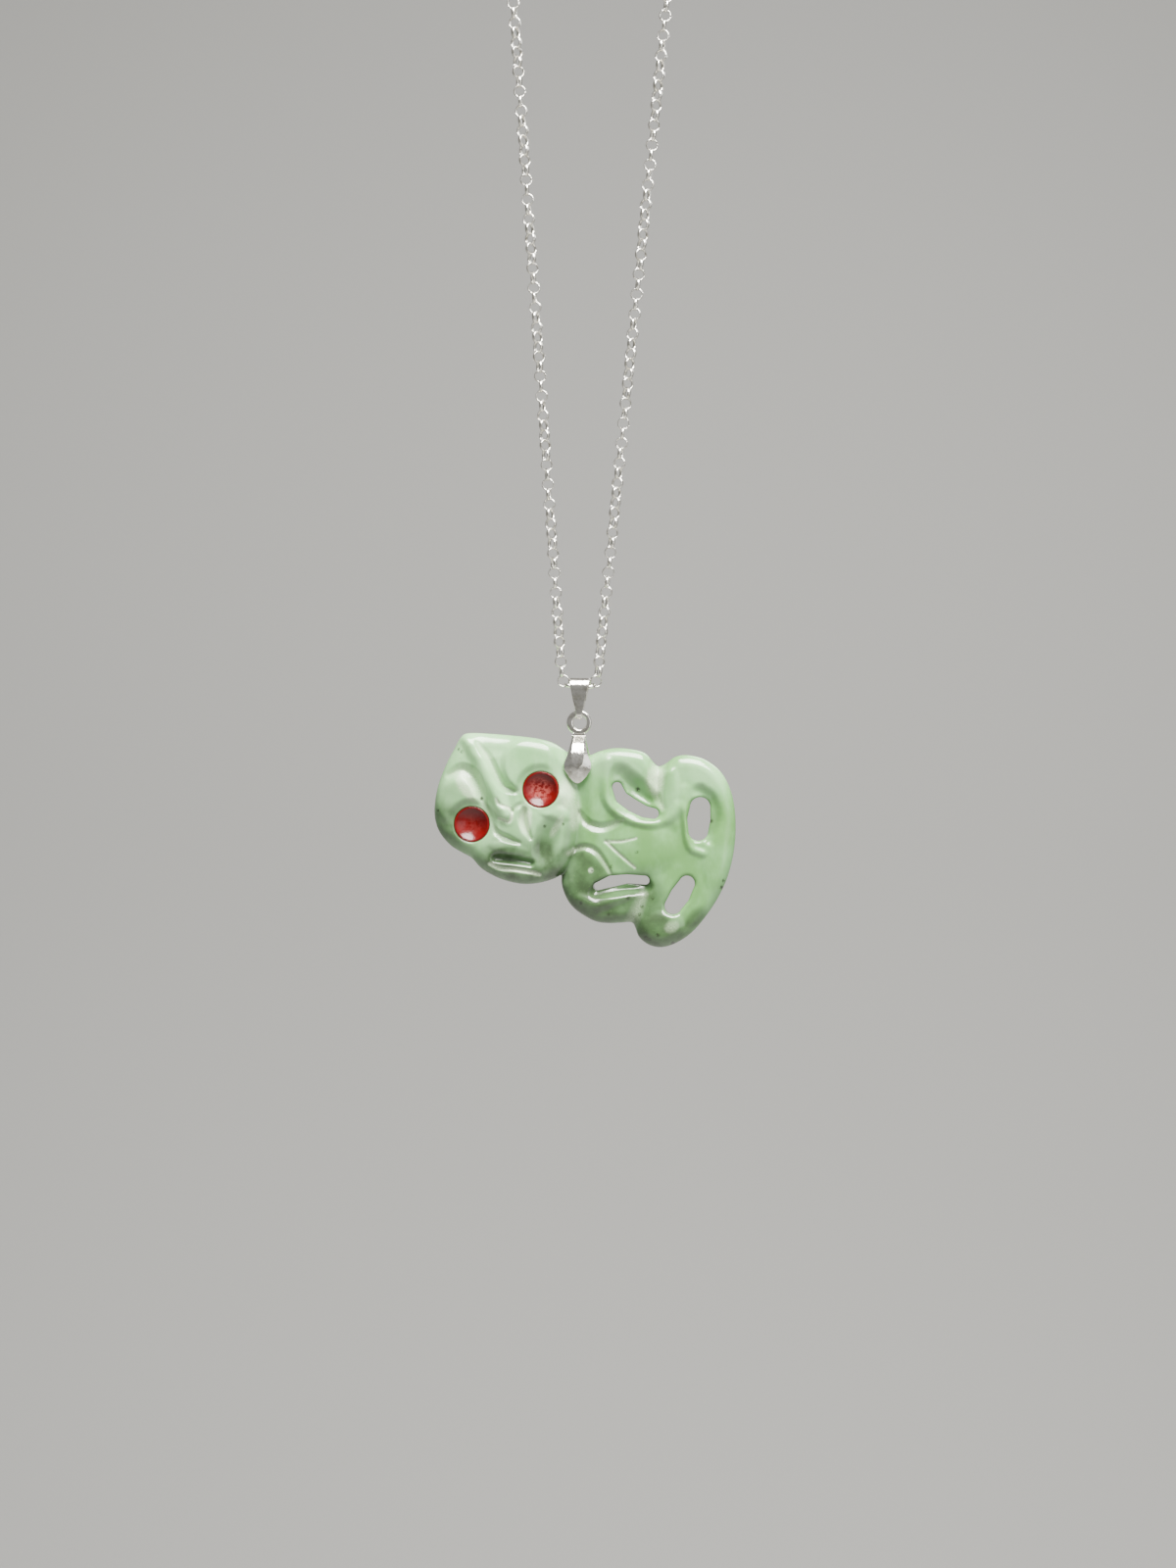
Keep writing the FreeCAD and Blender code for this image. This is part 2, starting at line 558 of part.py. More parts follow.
def leaf(side):
    """One leaf: ruled between the sections, with the prong on its inner face."""
    wires = []
    for z, width, flat, face, edge, inner in LEAF_SECTIONS:
        corners = [(-width, inner), (-width, edge), (-flat, face),
                   (flat, face), (width, edge), (width, inner)]
        points = [point(x, side * y, Z_HOLE + z) for x, y in corners]
        wires.append(Part.makePolygon(points + points[:1]))
    blade = Part.makeLoft(wires, True, True)
    inner_face = LEAF_SECTIONS[-1][-1]
    prong = Part.makeCylinder(PRONG_DIAMETER / 2, inner_face + PRONG_ROOT - PRONG_GAP,
                              point(0, side * PRONG_GAP, Z_HOLE), point(0, side, 0))
    return blade.fuse(prong)


def build_pinch_bail():
    ring = Part.makeCylinder(RING_DIAMETER / 2, RING_DEPTH, point(0, -RING_DEPTH / 2, Z_RING), point(0, 1, 0))
    hole = Part.makeCylinder(RING_HOLE / 2, RING_DEPTH * 2,
                             point(RING_HOLE_SHIFT, -RING_DEPTH, Z_RING), point(0, 1, 0))
    ring = ring.cut(hole)
    rims = [edge for edge in ring.Edges if isinstance(edge.Curve, Part.Circle)]
    ring = ring.makeFillet(RING_ROUNDING, rims)
    neck_low = LEAF_SECTIONS[0][0] - NECK_SINK
    neck_top = RING_TO_HOLE - RING_DIAMETER / 2 + NECK_SINK
    neck = Part.makeBox(NECK_WIDTH, NECK_DEPTH, neck_top - neck_low,
                        point(-NECK_WIDTH / 2, -NECK_DEPTH / 2, Z_HOLE + neck_low))
    collar_low = Z_HOLE + LEAF_SECTIONS[0][0] - COLLAR_HEIGHT
    collar = Part.makeBox(COLLAR_WIDTH, COLLAR_DEPTH, COLLAR_HEIGHT,
                          point(-COLLAR_WIDTH / 2, -COLLAR_DEPTH / 2, collar_low))
    return ring.fuse([neck, collar, leaf(-1), leaf(1)]).removeSplitter().Solids[0]


def teardrop(offset):
    """Outline across the upper bail: two arcs and their tangents, in the YZ plane."""
    top_r = BAIL_TOP_RADIUS + offset
    foot_r = BAIL_FOOT_RADIUS + offset
    top_z = Z_CHAIN + CHAIN_TUBE / 2 + BAIL_CHAIN_GAP - BAIL_TOP_RADIUS
    foot_z = Z_RING + RING_HOLE / 2 - BAIL_FOOT_DROP + BAIL_FOOT_RADIUS
    slope = math.asin((top_r - foot_r) / (top_z - foot_z))
    c = math.cos(slope)
    s = math.sin(slope)
    high = [point(0, side * top_r * c, top_z - top_r * s) for side in (-1, 1)]
    low = [point(0, side * foot_r * c, foot_z - foot_r * s) for side in (-1, 1)]
    return Part.Face(Part.Wire([
        Part.Arc(high[0], point(0, 0, top_z + top_r), high[1]).toShape(),
        Part.makeLine(high[1], low[1]),
        Part.Arc(low[1], point(0, 0, foot_z - foot_r), low[0]).toShape(),
        Part.makeLine(low[0], high[0]),
    ]))


def build_chain_bail():
    widest = max(width for height, width in BAIL_TAPER)
    deepest = BAIL_TOP_RADIUS + 2 * BAIL_STRIP
    strip = teardrop(BAIL_STRIP).cut(teardrop(0))
    loop = strip.extrude(point(2 * widest, 0, 0))
    loop.translate(point(-widest, 0, 0))
    left = [point(-width, -deepest, Z_CHAIN + height) for height, width in BAIL_TAPER]
    right = [point(width, -deepest, Z_CHAIN + height) for height, width in reversed(BAIL_TAPER)]
    front = Part.Face(Part.makePolygon(left + right + left[:1]))
    return loop.common(front.extrude(point(0, 2 * deepest, 0))).Solids[0]


def chain_path():
    """The loop's centre line from the right end of the gap, down, round the bail and up to the left end."""
    def mirrored(p, side):
        return point(side * p[0], 0, Z_CHAIN + p[1])

    top_centre = (strand_high[0] - top_radius * lean_c, strand_high[1] + top_radius * lean_s)
    top_middle_angle = rad(90 - STRAND_LEAN) / 2
    top_middle = (top_centre[0] + top_radius * math.cos(top_middle_angle),
                  top_centre[1] + top_radius * math.sin(top_middle_angle))
    bend_middle = (BEND_HALF_RUN + BEND_RADIUS * math.sin(bend_turn / 2),
                   BEND_RADIUS * (1 - math.cos(bend_turn / 2)))
    ends = {1: right_end, -1: left_end}
    runs = {}
    for side in (1, -1):
        runs[side] = [
            Part.makeLine(point(side * ends[side], 0, 0), mirrored((TOP_HALF_RUN, loop_height), side)),
            Part.Arc(mirrored((TOP_HALF_RUN, loop_height), side), mirrored(top_middle, side),
                     mirrored(strand_high, side)).toShape(),
            Part.makeLine(mirrored(strand_high, side), mirrored(strand_low, side)),
            Part.Arc(mirrored(strand_low, side), mirrored(bend_middle, side),
                     mirrored((BEND_HALF_RUN, 0), side)).toShape(),
        ]
    floor = Part.makeLine(mirrored((BEND_HALF_RUN, 0), 1), mirrored((BEND_HALF_RUN, 0), -1))
    return runs[1] + [floor] + runs[-1][::-1]


# Places along the top run, each ring one play inside the next
clasp_eye = CLASP_MEAN_RADIUS + CLASP_WIRE / 2 + CLASP_EYE_RADIUS
right_jump = clasp_eye + CLASP_EYE_RADIUS - CLASP_EYE_WIRE / 2 - LINK_PLAY - JUMP_WIRE / 2 + JUMP_MEAN_RADIUS
right_link = right_jump + JUMP_MEAN_RADIUS - JUMP_WIRE / 2 - LINK_PLAY - LINK_WIRE / 2 + LINK_MEAN_RADIUS
right_end = right_link + LINK_MEAN_RADIUS
left_jump = CLASP_MEAN_RADIUS - CLASP_WIRE / 2 - LINK_PLAY - JUMP_WIRE / 2 + JUMP_MEAN_RADIUS
left_link = left_jump + JUMP_MEAN_RADIUS - JUMP_WIRE / 2 - LINK_PLAY - LINK_WIRE / 2 + LINK_MEAN_RADIUS
left_end = left_link + LINK_MEAN_RADIUS


def build_chain():
    edges = chain_path()
    length = sum(edge.Length for edge in edges)
    start = Part.Wire([Part.makeCircle(CHAIN_TUBE / 2, point(right_end, 0, 0), point(1, 0, 0))])
    tube = Part.Wire(edges).makePipeShell([start], True, True)
    section = math.pi * CHAIN_TUBE ** 2 / 4
    print("chain tube length %.2f, loop %.2f, volume / (section x length) %.4f" % (
        length, length + right_end + left_end, tube.Volume / (section * length)))
    right = torus(point(right_link, 0, 0), LINK_MEAN_RADIUS, LINK_WIRE, point(0, 0, 1))
    left = torus(point(-left_link, 0, 0), LINK_MEAN_RADIUS, LINK_WIRE, point(0, 1, 0))
    return tube.fuse([right, left]).Solids[0]


def build_clasp():
    ring = torus(point(0, 0, 0), CLASP_MEAN_RADIUS, CLASP_WIRE, point(0, 1, 0))
    eye = torus(point(clasp_eye, 0, 0), CLASP_EYE_RADIUS, CLASP_EYE_WIRE, point(0, 0, 1))
    return ring.fuse(eye).Solids[0]


def main():
    os.makedirs("parts", exist_ok=True)
    stone = build_stone()
    export("tiki", stone)
    mass = stone.Volume * JADE_DENSITY
    moment = stone.CenterOfMass * mass
    for name, row in EYES.items():
        eye = build_eye(*row)
        export(name, eye)
        eye_mass = eye.Volume * GLASS_DENSITY
        moment += eye.CenterOfMass * eye_mass
        mass += eye_mass
    centre = moment / mass
    print("stone and eyes %.2f g, centre from the drilled hole x %.3f y %.3f z %.2f" % (
        mass, centre.x, centre.y, centre.z - Z_HOLE))
    export("pinch_bail", build_pinch_bail())
    export("chain_bail", build_chain_bail())
    export("chain", build_chain())
    export("clasp", build_clasp())
    export("jump_ring_right", torus(point(right_jump, 0, 0), JUMP_MEAN_RADIUS, JUMP_WIRE, point(0, 1, 0)))
    export("jump_ring_left", torus(point(-left_jump, 0, 0), JUMP_MEAN_RADIUS, JUMP_WIRE, point(0, 0, 1)))
    print("chain centre z %.3f, ring z %.3f, drilled hole z %.3f, loop height %.3f, top radius %.2f" % (
        Z_CHAIN, Z_RING, Z_HOLE, loop_height, top_radius))


main()
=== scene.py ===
"""Hei tiki pendant: a carved jade figure hung sideways from a pinch bail on a silver rolo chain.

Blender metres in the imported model's frame, with the figure's face towards -Y and its head towards -X.
The stone's own tables are in millimetres from the drilled hole, u to the right and v up.
"""
import json
import math
import bmesh
import bpy
import numpy as np
from mathutils import Matrix, Vector


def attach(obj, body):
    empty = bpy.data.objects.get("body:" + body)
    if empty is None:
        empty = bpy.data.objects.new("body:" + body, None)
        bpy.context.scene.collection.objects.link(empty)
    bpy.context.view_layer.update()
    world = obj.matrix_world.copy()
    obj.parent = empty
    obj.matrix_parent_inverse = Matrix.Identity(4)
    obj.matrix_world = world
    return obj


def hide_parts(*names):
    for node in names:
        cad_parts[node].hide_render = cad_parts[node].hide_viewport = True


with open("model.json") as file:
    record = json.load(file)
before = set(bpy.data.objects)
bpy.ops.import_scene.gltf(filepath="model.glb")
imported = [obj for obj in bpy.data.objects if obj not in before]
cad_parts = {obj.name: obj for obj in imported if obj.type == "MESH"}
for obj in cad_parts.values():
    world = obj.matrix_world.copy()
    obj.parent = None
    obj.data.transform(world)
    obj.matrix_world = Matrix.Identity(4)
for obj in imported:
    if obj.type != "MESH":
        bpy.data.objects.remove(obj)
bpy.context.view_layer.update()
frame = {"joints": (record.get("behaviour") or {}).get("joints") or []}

# The stone: one flat piece of pale jade, sawn, drilled and ground to a sideways figure, then polished.
# Four slots are cut through it round the arms and legs, and the face and limbs are carved in relief.
# The ground stays frosty in the grooves, and green clouds and dark specks lie in the stone. Its colour also
# holds painted shade low and to the left, painted light on the body's tops, and painted highlights.
MM = 0.001
pivots = {joint["name"]: Vector(joint["pos_m"]) for joint in frame["joints"]}
HOLE = pivots["figure_swing"]
HANG_TURN = math.radians(0.85)
GRID = 0.2
CURVE_STEPS = 4
CORNER_FILL = 0.01
CORNER_PASSES = 3
SETTLE_PASSES = 2
HEAD_LEVEL = 3.65
HEAD_FALL = 0.9
HEAD_MIDDLE = (-10.5, -6.3)
HEAD_REACH = (14.5, 13.5)
HEAD_EDGE = 2.1
HEAD_BACK = 1.8
BODY_LEVEL = 2.05
BODY_EDGE = 1.9
BACK_LEVEL = 2.1
BACK_EDGE = 1.1
SLOT_EDGE = 0.55
SEAT_LEVEL = 2.1
NECK_BLEND = 0.3
DRILLED_HOLE = 1.4
STONE_BOX = [(-24.1, 26.2), (-29.4, 7.1), (-5.3, 4.6)]
# u, v, radius, level of the rim
EYES = {
    "eye_right": (-5.8, -3.1, 2.9, 3.4),
    "eye_left": (-16.8, -8.6, 2.85, 2.9),
}
EYE_POCKET = 1.5
EYE_LEVEL_ROUND = 0.2
EYE_LEVEL_EASE = 1.3
HOLE_EDGE = 0.18
# u, v
HEAD_OUTLINE = [
    (-17.4, 5.9), (-18.7, 5.3), (-19.8, 3.4), (-21.1, 0.9), (-22.3, -2.2), (-22.9, -5.3), (-22.9, -7.7),
    (-22.1, -10.0), (-20.3, -12.1), (-18.3, -13.3), (-16.9, -14.1), (-15.3, -15.8), (-12.5, -17.3),
    (-9.4, -18.1), (-7.0, -18.1), (-4.7, -17.6), (-2.8, -16.7), (-1.2, -14.7), (-0.3, -11.6),
    (0.0, -7.7), (0.1, -3.8), (0.0, -0.6), (-0.4, 1.5), (-2.0, 3.0), (-4.2, 4.4), (-7.0, 5.1),
    (-10.5, 5.5), (-14.1, 5.8),
]
BODY_OUTLINE = [
    (0.0, 1.5), (1.1, 2.1), (2.2, 2.5), (3.4, 3.0), (5.0, 3.4), (6.6, 3.5), (8.6, 3.3), (10.2, 2.9),
    (11.1, 2.3), (11.9, 1.3), (12.8, 0.6), (14.0, 1.1), (15.2, 2.0), (16.4, 2.35), (18.0, 2.3),
    (20.3, 1.6), (22.7, -0.3), (24.3, -3.4), (25.0, -7.2), (24.9, -11.9), (23.9, -16.6), (22.3, -20.2),
    (20.2, -23.4), (18.0, -25.9), (15.6, -27.5), (13.3, -28.2), (11.2, -27.8), (9.7, -26.6), (9.1, -25.2),
    (8.5, -24.3), (6.9, -24.3), (5.0, -24.4), (2.7, -24.1), (0.3, -22.8), (-1.1, -21.6), (-2.0, -20.2),
    (-2.6, -18.5), (-2.7, -16.8), (-2.2, -12.0), (-2.2, -6.0), (-1.6, -0.5),
]
# u, v, radius
SLOTS = {
    "upper_arm": [(6.2, -2.7, 0.8), (6.9, -4.4, 1.0), (8.6, -5.6, 1.05), (10.5, -6.6, 0.95),
                  (12.0, -6.9, 0.85)],
    "upper_leg": [(19.4, -5.9, 1.6), (19.2, -7.8, 1.83), (19.1, -9.7, 1.55)],
    "lower_leg": [(17.3, -18.0, 1.25), (16.2, -19.9, 1.55), (15.1, -21.6, 1.35)],
    "lower_arm": [(3.1, -18.5, 0.65), (5.3, -17.7, 0.95), (7.8, -17.3, 0.75), (10.6, -17.5, 0.75)],
}
# u, v, half width, depth
HEAD_GROOVES = {
    "brow_right": [(-15.9, 4.3, 0.5, 0.2), (-14.2, 1.9, 0.9, 0.6), (-13.1, -0.3, 0.9, 0.7),
                   (-12.1, -2.2, 0.9, 0.7), (-10.6, -3.1, 0.8, 0.6), (-8.9, -3.4, 0.6, 0.4)],
    "brow_left": [(-20.4, -0.8, 0.8, 0.3), (-18.4, 0.1, 1.2, 0.6), (-16.7, -0.9, 1.3, 0.8),
                  (-15.7, -2.8, 1.2, 0.8), (-15.1, -4.9, 0.9, 0.6), (-14.4, -6.6, 0.6, 0.3)],
    "nostril_upper": [(-12.8, -4.5, 0.3, 0.15), (-12.3, -5.4, 0.4, 0.35), (-10.9, -6.0, 0.4, 0.35),
                      (-10.3, -6.6, 0.4, 0.35)],
    "nostril_lower": [(-12.4, -7.7, 0.35, 0.25), (-11.6, -7.9, 0.4, 0.35), (-10.8, -8.2, 0.4, 0.35),
                      (-10.4, -7.5, 0.4, 0.3), (-10.3, -6.5, 0.35, 0.3)],
    "eye_to_nose": [(-7.8, -5.1, 0.5, 0.4), (-9.1, -5.5, 0.6, 0.4), (-10.2, -6.3, 0.4, 0.3)],
    "lip_notch": [(-8.4, -6.3, 0.9, 0.8), (-8.6, -7.7, 1.0, 1.1), (-8.2, -9.3, 0.8, 0.9),
                  (-7.4, -10.8, 0.5, 0.4)],
    "lip_left": [(-14.2, -7.9, 0.5, 0.2), (-12.9, -9.8, 0.7, 0.6), (-10.9, -10.9, 0.7, 0.7),
                 (-9.2, -11.5, 0.4, 0.3)],
    "mouth": [(-13.0, -14.0, 0.95, 0.75), (-10.5, -14.2, 1.0, 0.85), (-7.4, -14.7, 0.9, 0.7)],
    "lip_lower": [(-13.9, -14.9, 0.4, 0.15), (-12.2, -15.6, 0.45, 0.35), (-9.8, -15.8, 0.45, 0.35),
                  (-7.8, -16.1, 0.45, 0.35), (-6.0, -16.6, 0.35, 0.15)],
}
BODY_GROOVES = {
    "inner_elbow": [(6.9, -0.9, 2.4, 0.9), (8.9, -2.9, 2.6, 1.5), (11.4, -4.9, 2.2, 1.3)],
    "top_notch": [(12.8, 0.7, 1.7, 0.9), (12.6, -1.8, 1.5, 0.8), (12.8, -4.2, 1.1, 0.5),
                  (13.4, -6.0, 0.7, 0.2)],
    "inner_knee": [(19.4, -3.4, 1.6, 0.7), (21.0, -4.9, 1.7, 0.8), (21.7, -8.0, 1.5, 0.6),
                   (20.9, -11.0, 1.3, 0.4)],
    "upper_arm_line": [(0.1, -6.8, 0.7, 0.5), (1.6, -8.5, 0.9, 0.6), (3.6, -9.1, 0.9, 0.6),
                       (5.5, -8.7, 0.8, 0.5), (7.2, -7.8, 0.5, 0.2)],
    "lower_arm_line": [(-1.4, -13.2, 0.6, 0.4), (-0.2, -12.5, 0.6, 0.5), (1.4, -12.2, 0.7, 0.5),
                       (3.0, -13.0, 0.7, 0.5), (4.2, -14.6, 0.6, 0.5), (5.2, -16.4, 0.4, 0.3)],
    "belly_upper": [(4.4, -11.3, 0.25, 0.15), (6.9, -11.3, 0.3, 0.22), (9.3, -10.8, 0.25, 0.12)],
    "belly_lower": [(4.4, -11.3, 0.3, 0.22), (6.7, -13.4, 0.32, 0.28), (9.1, -15.5, 0.28, 0.15)],
    "lower_elbow": [(2.8, -19.4, 1.3, 0.9), (6.4, -18.8, 1.6, 1.3), (10.8, -18.5, 1.5, 1.3)],
    "bottom_notch": [(8.4, -24.6, 1.3, 0.9), (9.3, -22.4, 1.3, 0.6), (10.4, -19.8, 1.0, 0.3)],
    "neck": [(0.2, 1.8, 2.2, 0.6), (0.2, -3.0, 2.2, 0.6), (0.3, -8.0, 2.2, 0.6), (-0.6, -13.0, 2.0, 0.6),
             (-2.4, -17.0, 1.8, 0.6)],
}
ROUND_GROOVES = ("lip_notch", "mouth", "inner_elbow", "inner_knee", "lower_elbow", "neck")
GLOSSY_GROOVES = ("mouth", "inner_elbow", "inner_knee", "lower_elbow", "neck")
FINE_LINES = ("belly_upper", "belly_lower", "lip_lower", "nostril_upper", "nostril_lower")
# The fine lines are whitened as frosty ground and as a painted highlight along their edges.
FINE_LINE_FROST_AND_HIGHLIGHT = 1.3
GROOVE_FROST = 0.4
# u, v, half width, height
HEAD_RIDGES = {
    "nose": [(-17.6, 4.9, 1.6, 0.5), (-15.6, 2.0, 2.0, 0.75), (-14.2, -1.3, 2.1, 0.8),
             (-12.6, -4.4, 1.9, 0.7), (-11.4, -7.0, 1.5, 0.5)],
}
BODY_RIDGES = {
    "upper_arm_rim": [(4.7, 1.2, 1.2, 0.2), (4.4, -2.2, 1.3, 0.5), (4.9, -5.2, 1.2, 0.6),
                      (7.4, -7.5, 1.1, 0.6), (11.0, -8.5, 1.1, 0.5), (13.9, -8.0, 1.2, 0.4),
                      (16.0, -6.0, 1.6, 0.3)],
    "upper_leg_rim": [(17.0, -3.0, 1.2, 0.2), (17.0, -7.5, 1.0, 0.5), (17.7, -12.0, 1.0, 0.4),
                      (19.8, -13.2, 1.0, 0.3)],
    "lower_arm": [(0.6, -20.3, 1.2, 0.3), (3.0, -21.4, 1.5, 0.55), (5.4, -20.7, 1.4, 0.5),
                  (8.0, -19.9, 1.1, 0.3)],
    "thigh": [(14.8, -0.5, 1.5, 0.3), (15.3, -4.0, 2.0, 0.35), (15.0, -8.0, 2.0, 0.2)],
}
# u, v, half length, half width, turn, height
HEAD_SWELLS = {
    "nose_tip": (-11.5, -7.0, 2.2, 1.6, -60, 0.35),
    "mouth_right": (-4.9, -11.2, 4.4, 2.4, 75, -0.75),
    "lip_right": (-3.9, -6.6, 3.4, 1.5, -20, 0.35),
    "lip_left": (-11.0, -12.4, 3.5, 1.3, -10, 0.3),
    "forehead": (-13.5, 4.2, 4.0, 2.4, 10, -0.25),
    "cheek": (-18.0, -12.0, 3.5, 3.0, 0, -0.3),
}
BODY_SWELLS = {
    "belly": (10.5, -12.3, 6.0, 5.0, 0, 0.55),
    "lower_hand": (2.6, -16.5, 4.4, 4.0, 0, 0.1),
    "lower_knee": (13.7, -24.9, 3.6, 3.0, 20, 0.6),
    "outer_leg": (22.0, -14.0, 2.6, 7.0, 0, 0.25),
}
# u, v, radius, width of the rim's slope, height
BROWS = {
    "right": (-7.3, 0.8, 5.1, 1.3, 0.75),
    "left": (-19.2, -4.9, 4.4, 1.6, 0.45),
}
SEAT = [(0.0, -0.6), (0.0, 2.6)]
SEAT_RADIUS = 1.4
SEAT_RISE = 0.3
SEAT_POWER = 1.6
SEAT_BLEND = 0.7
# y where the frost and the painted highlights end, and over how much they fade
FROST_AND_HIGHLIGHT_END = (0.5, 1.5)
# Frosty ground, with a painted highlight on the knee's top (knee_top): u, v, half length, half width, turn,
# strength
FROST_AND_HIGHLIGHTS = {
    "left_brow": (-17.6, -2.6, 3.4, 1.5, -55, 0.8),
    "lip_notch": (-8.2, -7.9, 2.9, 1.3, 85, 1.0),
    "beside_eye": (-1.8, -3.6, 3.6, 1.9, 80, 0.7),
    "top_notch": (12.2, -1.6, 3.0, 1.9, 85, 0.55),
    "neck_side": (-0.4, -7.0, 3.4, 1.1, 85, 0.5),
    "mouth_rim": (-3.2, -8.8, 2.6, 0.8, 60, 0.5),
    "knee_top": (14.9, -24.8, 1.5, 1.2, 30, 0.35),
    "pit": (2.1, -15.9, 0.55, 0.55, 0, 0.9),
}
# Green clouds in the stone, and painted shade on the lower and left parts and in the mouth groove: u, v, half
# length, half width, turn, strength
CLOUDS_AND_SHADE = {
    "arm": (6.6, -0.6, 6.0, 2.4, -30, 0.35),
    "hand": (0.8, -18.6, 6.6, 8.0, 20, 1.2),
    "wrist": (4.6, -22.0, 8.0, 4.6, 8, 0.95),
    "foot": (10.6, -20.6, 4.6, 6.4, 20, 0.9),
    "knee": (13.0, -26.4, 7.4, 4.2, 15, 1.0),
    "shin": (18.8, -23.3, 2.6, 1.6, 45, 0.8),
    "leg": (21.2, -8.1, 1.6, 2.6, 0, 0.45),
    "chin": (-8.5, -17.4, 13.0, 8.0, -8, 1.2),
    "brow": (-20.4, -5.2, 4.6, 4.6, 0, 0.45),
    "jaw": (-0.8, -12.5, 2.2, 6.5, 0, 0.7),
    "mouth": (-5.2, -11.4, 4.2, 2.3, 72, 0.6),
    "mouth_line": (-10.4, -13.9, 4.2, 1.8, -7, 1.0),
    "cheek": (-20.4, -9.8, 5.4, 5.2, -40, 0.9),
}
# u where the pale stone of the head ends, and over how much it fades
PALE_END = (1.5, 4.0)
# Painted light: paler zones on the tops of the body, where the light from above falls: u, v, half length,
# half width, turn, strength
LIT_TOPS = {
    "arm_top": (5.5, 0.6, 6.5, 2.6, -12, 0.8),
    "thigh": (15.2, -3.6, 2.6, 6.0, 0, 0.8),
    "leg_top": (20.2, -0.6, 6.0, 2.8, -20, 0.7),
}
# How far a speck reaches, in its own radii
SPECK_REACH = 1.6
# Dark specks: u, v, radius
SPECKS = [
    (-18.9, 3.3, 0.2), (-18.4, 2.9, 0.2), (-15.2, -4.5, 0.24), (-22.2, -6.4, 0.2), (-5.2, -8.9, 0.22),
    (-2.3, -8.6, 0.22), (2.3, -15.9, 0.2), (0.5, -21.1, 0.26), (8.0, -20.3, 0.24), (11.9, -20.3, 0.24),
    (10.2, -21.6, 0.26), (9.8, -22.9, 0.24), (12.7, -26.1, 0.3), (10.8, -26.6, 0.34), (11.4, -26.9, 0.26),
    (5.3, -15.3, 0.22), (9.4, -13.0, 0.2), (4.9, -22.9, 0.26), (9.5, -3.1, 0.34), (22.8, -18.6, 0.26),
    (23.1, -17.5, 0.22), (21.1, -8.1, 0.3), (15.1, -27.5, 0.3), (9.6, -17.9, 0.5), (10.9, -17.6, 0.55),
]


def smooth(q):
    q = np.clip(q, 0.0, 1.0)
    return q * q * (3 - 2 * q)


def curve(rows, closed):
    """Points of a smooth curve through the rows, with every column of the rows eased alike."""
    rows = np.array(rows)
    if closed:
        a, b, c, d = (np.roll(rows, 1 - k, axis=0) for k in range(4))
    else:
        padded = np.vstack([rows[:1], rows, rows[-1:]])
        a, b, c, d = (padded[k:len(rows) - 1 + k] for k in range(4))
    t = np.arange(CURVE_STEPS)[None, :, None] / CURVE_STEPS
    a, b, c, d = (x[:, None, :] for x in (a, b, c, d))
    points = b + 0.5 * t * (c - a + t * (2 * a - 5 * b + 4 * c - d + t * (3 * b - a - 3 * c + d)))
    points = points.reshape(-1, rows.shape[1])
    return points if closed else np.vstack([points, rows[-1:]])


def segment_distance(u, v, a, b):
    """Distance to a segment and how far along it the nearest point lies."""
    eu = b[0] - a[0]
    ev = b[1] - a[1]
    t = np.clip(((u - a[0]) * eu + (v - a[1]) * ev) / (eu * eu + ev * ev), 0.0, 1.0)
    return np.hypot(u - a[0] - t * eu, v - a[1] - t * ev), t


def outline_distance(u, v, points):
    """Signed distance to a closed outline, negative inside."""
    best = np.full(u.shape, 1e9)
    inside = np.zeros(u.shape, bool)
    for a, b in zip(np.roll(points, 1, axis=0), points):
        best = np.minimum(best, segment_distance(u, v, a, b)[0])
        if a[1] != b[1]:
            crossing = (b[0] - a[0]) * (v - a[1]) / (b[1] - a[1]) + a[0]
            inside ^= ((a[1] > v) != (b[1] > v)) & (u < crossing)
    return np.where(inside, -best, best)


def slot_distance(u, v, rows):
    """Signed distance to a slot of changing width, negative in the slot."""
    best = np.full(u.shape, 1e9)
    for a, b in zip(rows[:-1], rows[1:]):
        distance, t = segment_distance(u, v, a, b)
        best = np.minimum(best, distance - a[2] - t * (b[2] - a[2]))
    return best


def stroke(u, v, rows, sharp):
    """A groove's depth or a ridge's height along its curve, and its share of the full height."""
    points = curve(rows, False)
    reach = points[:, 2].max()
    low = points.min(0) - reach
    high = points.max(0) + reach
    close = (u > low[0]) & (u < high[0]) & (v > low[1]) & (v < high[1])
    best = np.full(close.sum(), 1e9)
    width = np.ones(best.shape)
    height = np.zeros(best.shape)
    for a, b in zip(points[:-1], points[1:]):
        distance, t = segment_distance(u[close], v[close], a, b)
        near = distance < best
        best = np.where(near, distance, best)
        width = np.where(near, a[2] + t * (b[2] - a[2]), width)
        height = np.where(near, a[3] + t * (b[3] - a[3]), height)
    q = 1 - best / width
    share = np.zeros(u.shape)
    amount = np.zeros(u.shape)
    share[close] = np.maximum(q, 0.0) if sharp else smooth(q)
    amount[close] = height * share[close]
    return amount, share


def swell(u, v, row):
    cu, cv, along, across, turn, height = row
    c = math.cos(math.radians(turn))
    s = math.sin(math.radians(turn))
    a = ((u - cu) * c + (v - cv) * s) / along
    b = ((v - cv) * c - (u - cu) * s) / across
    return height * smooth(1 - a * a - b * b)


def soft_min(a, b, blend):
    h = np.clip(0.5 + 0.5 * (b - a) / blend, 0.0, 1.0)
    return b + (a - b) * h - blend * h * (1 - h)


def rounded(a, b, radius):
    """Where both fields are negative, with the edge between them rounded."""
    p = a + radius
    q = b + radius
    return np.minimum(np.maximum(p, q), 0.0) + np.hypot(np.maximum(p, 0.0), np.maximum(q, 0.0)) - radius


def seat_cap(u, v):
    distance = segment_distance(u, v, *SEAT)[0]
    return SEAT_LEVEL + SEAT_RISE * np.maximum(distance - SEAT_RADIUS, 0.0) ** SEAT_POWER


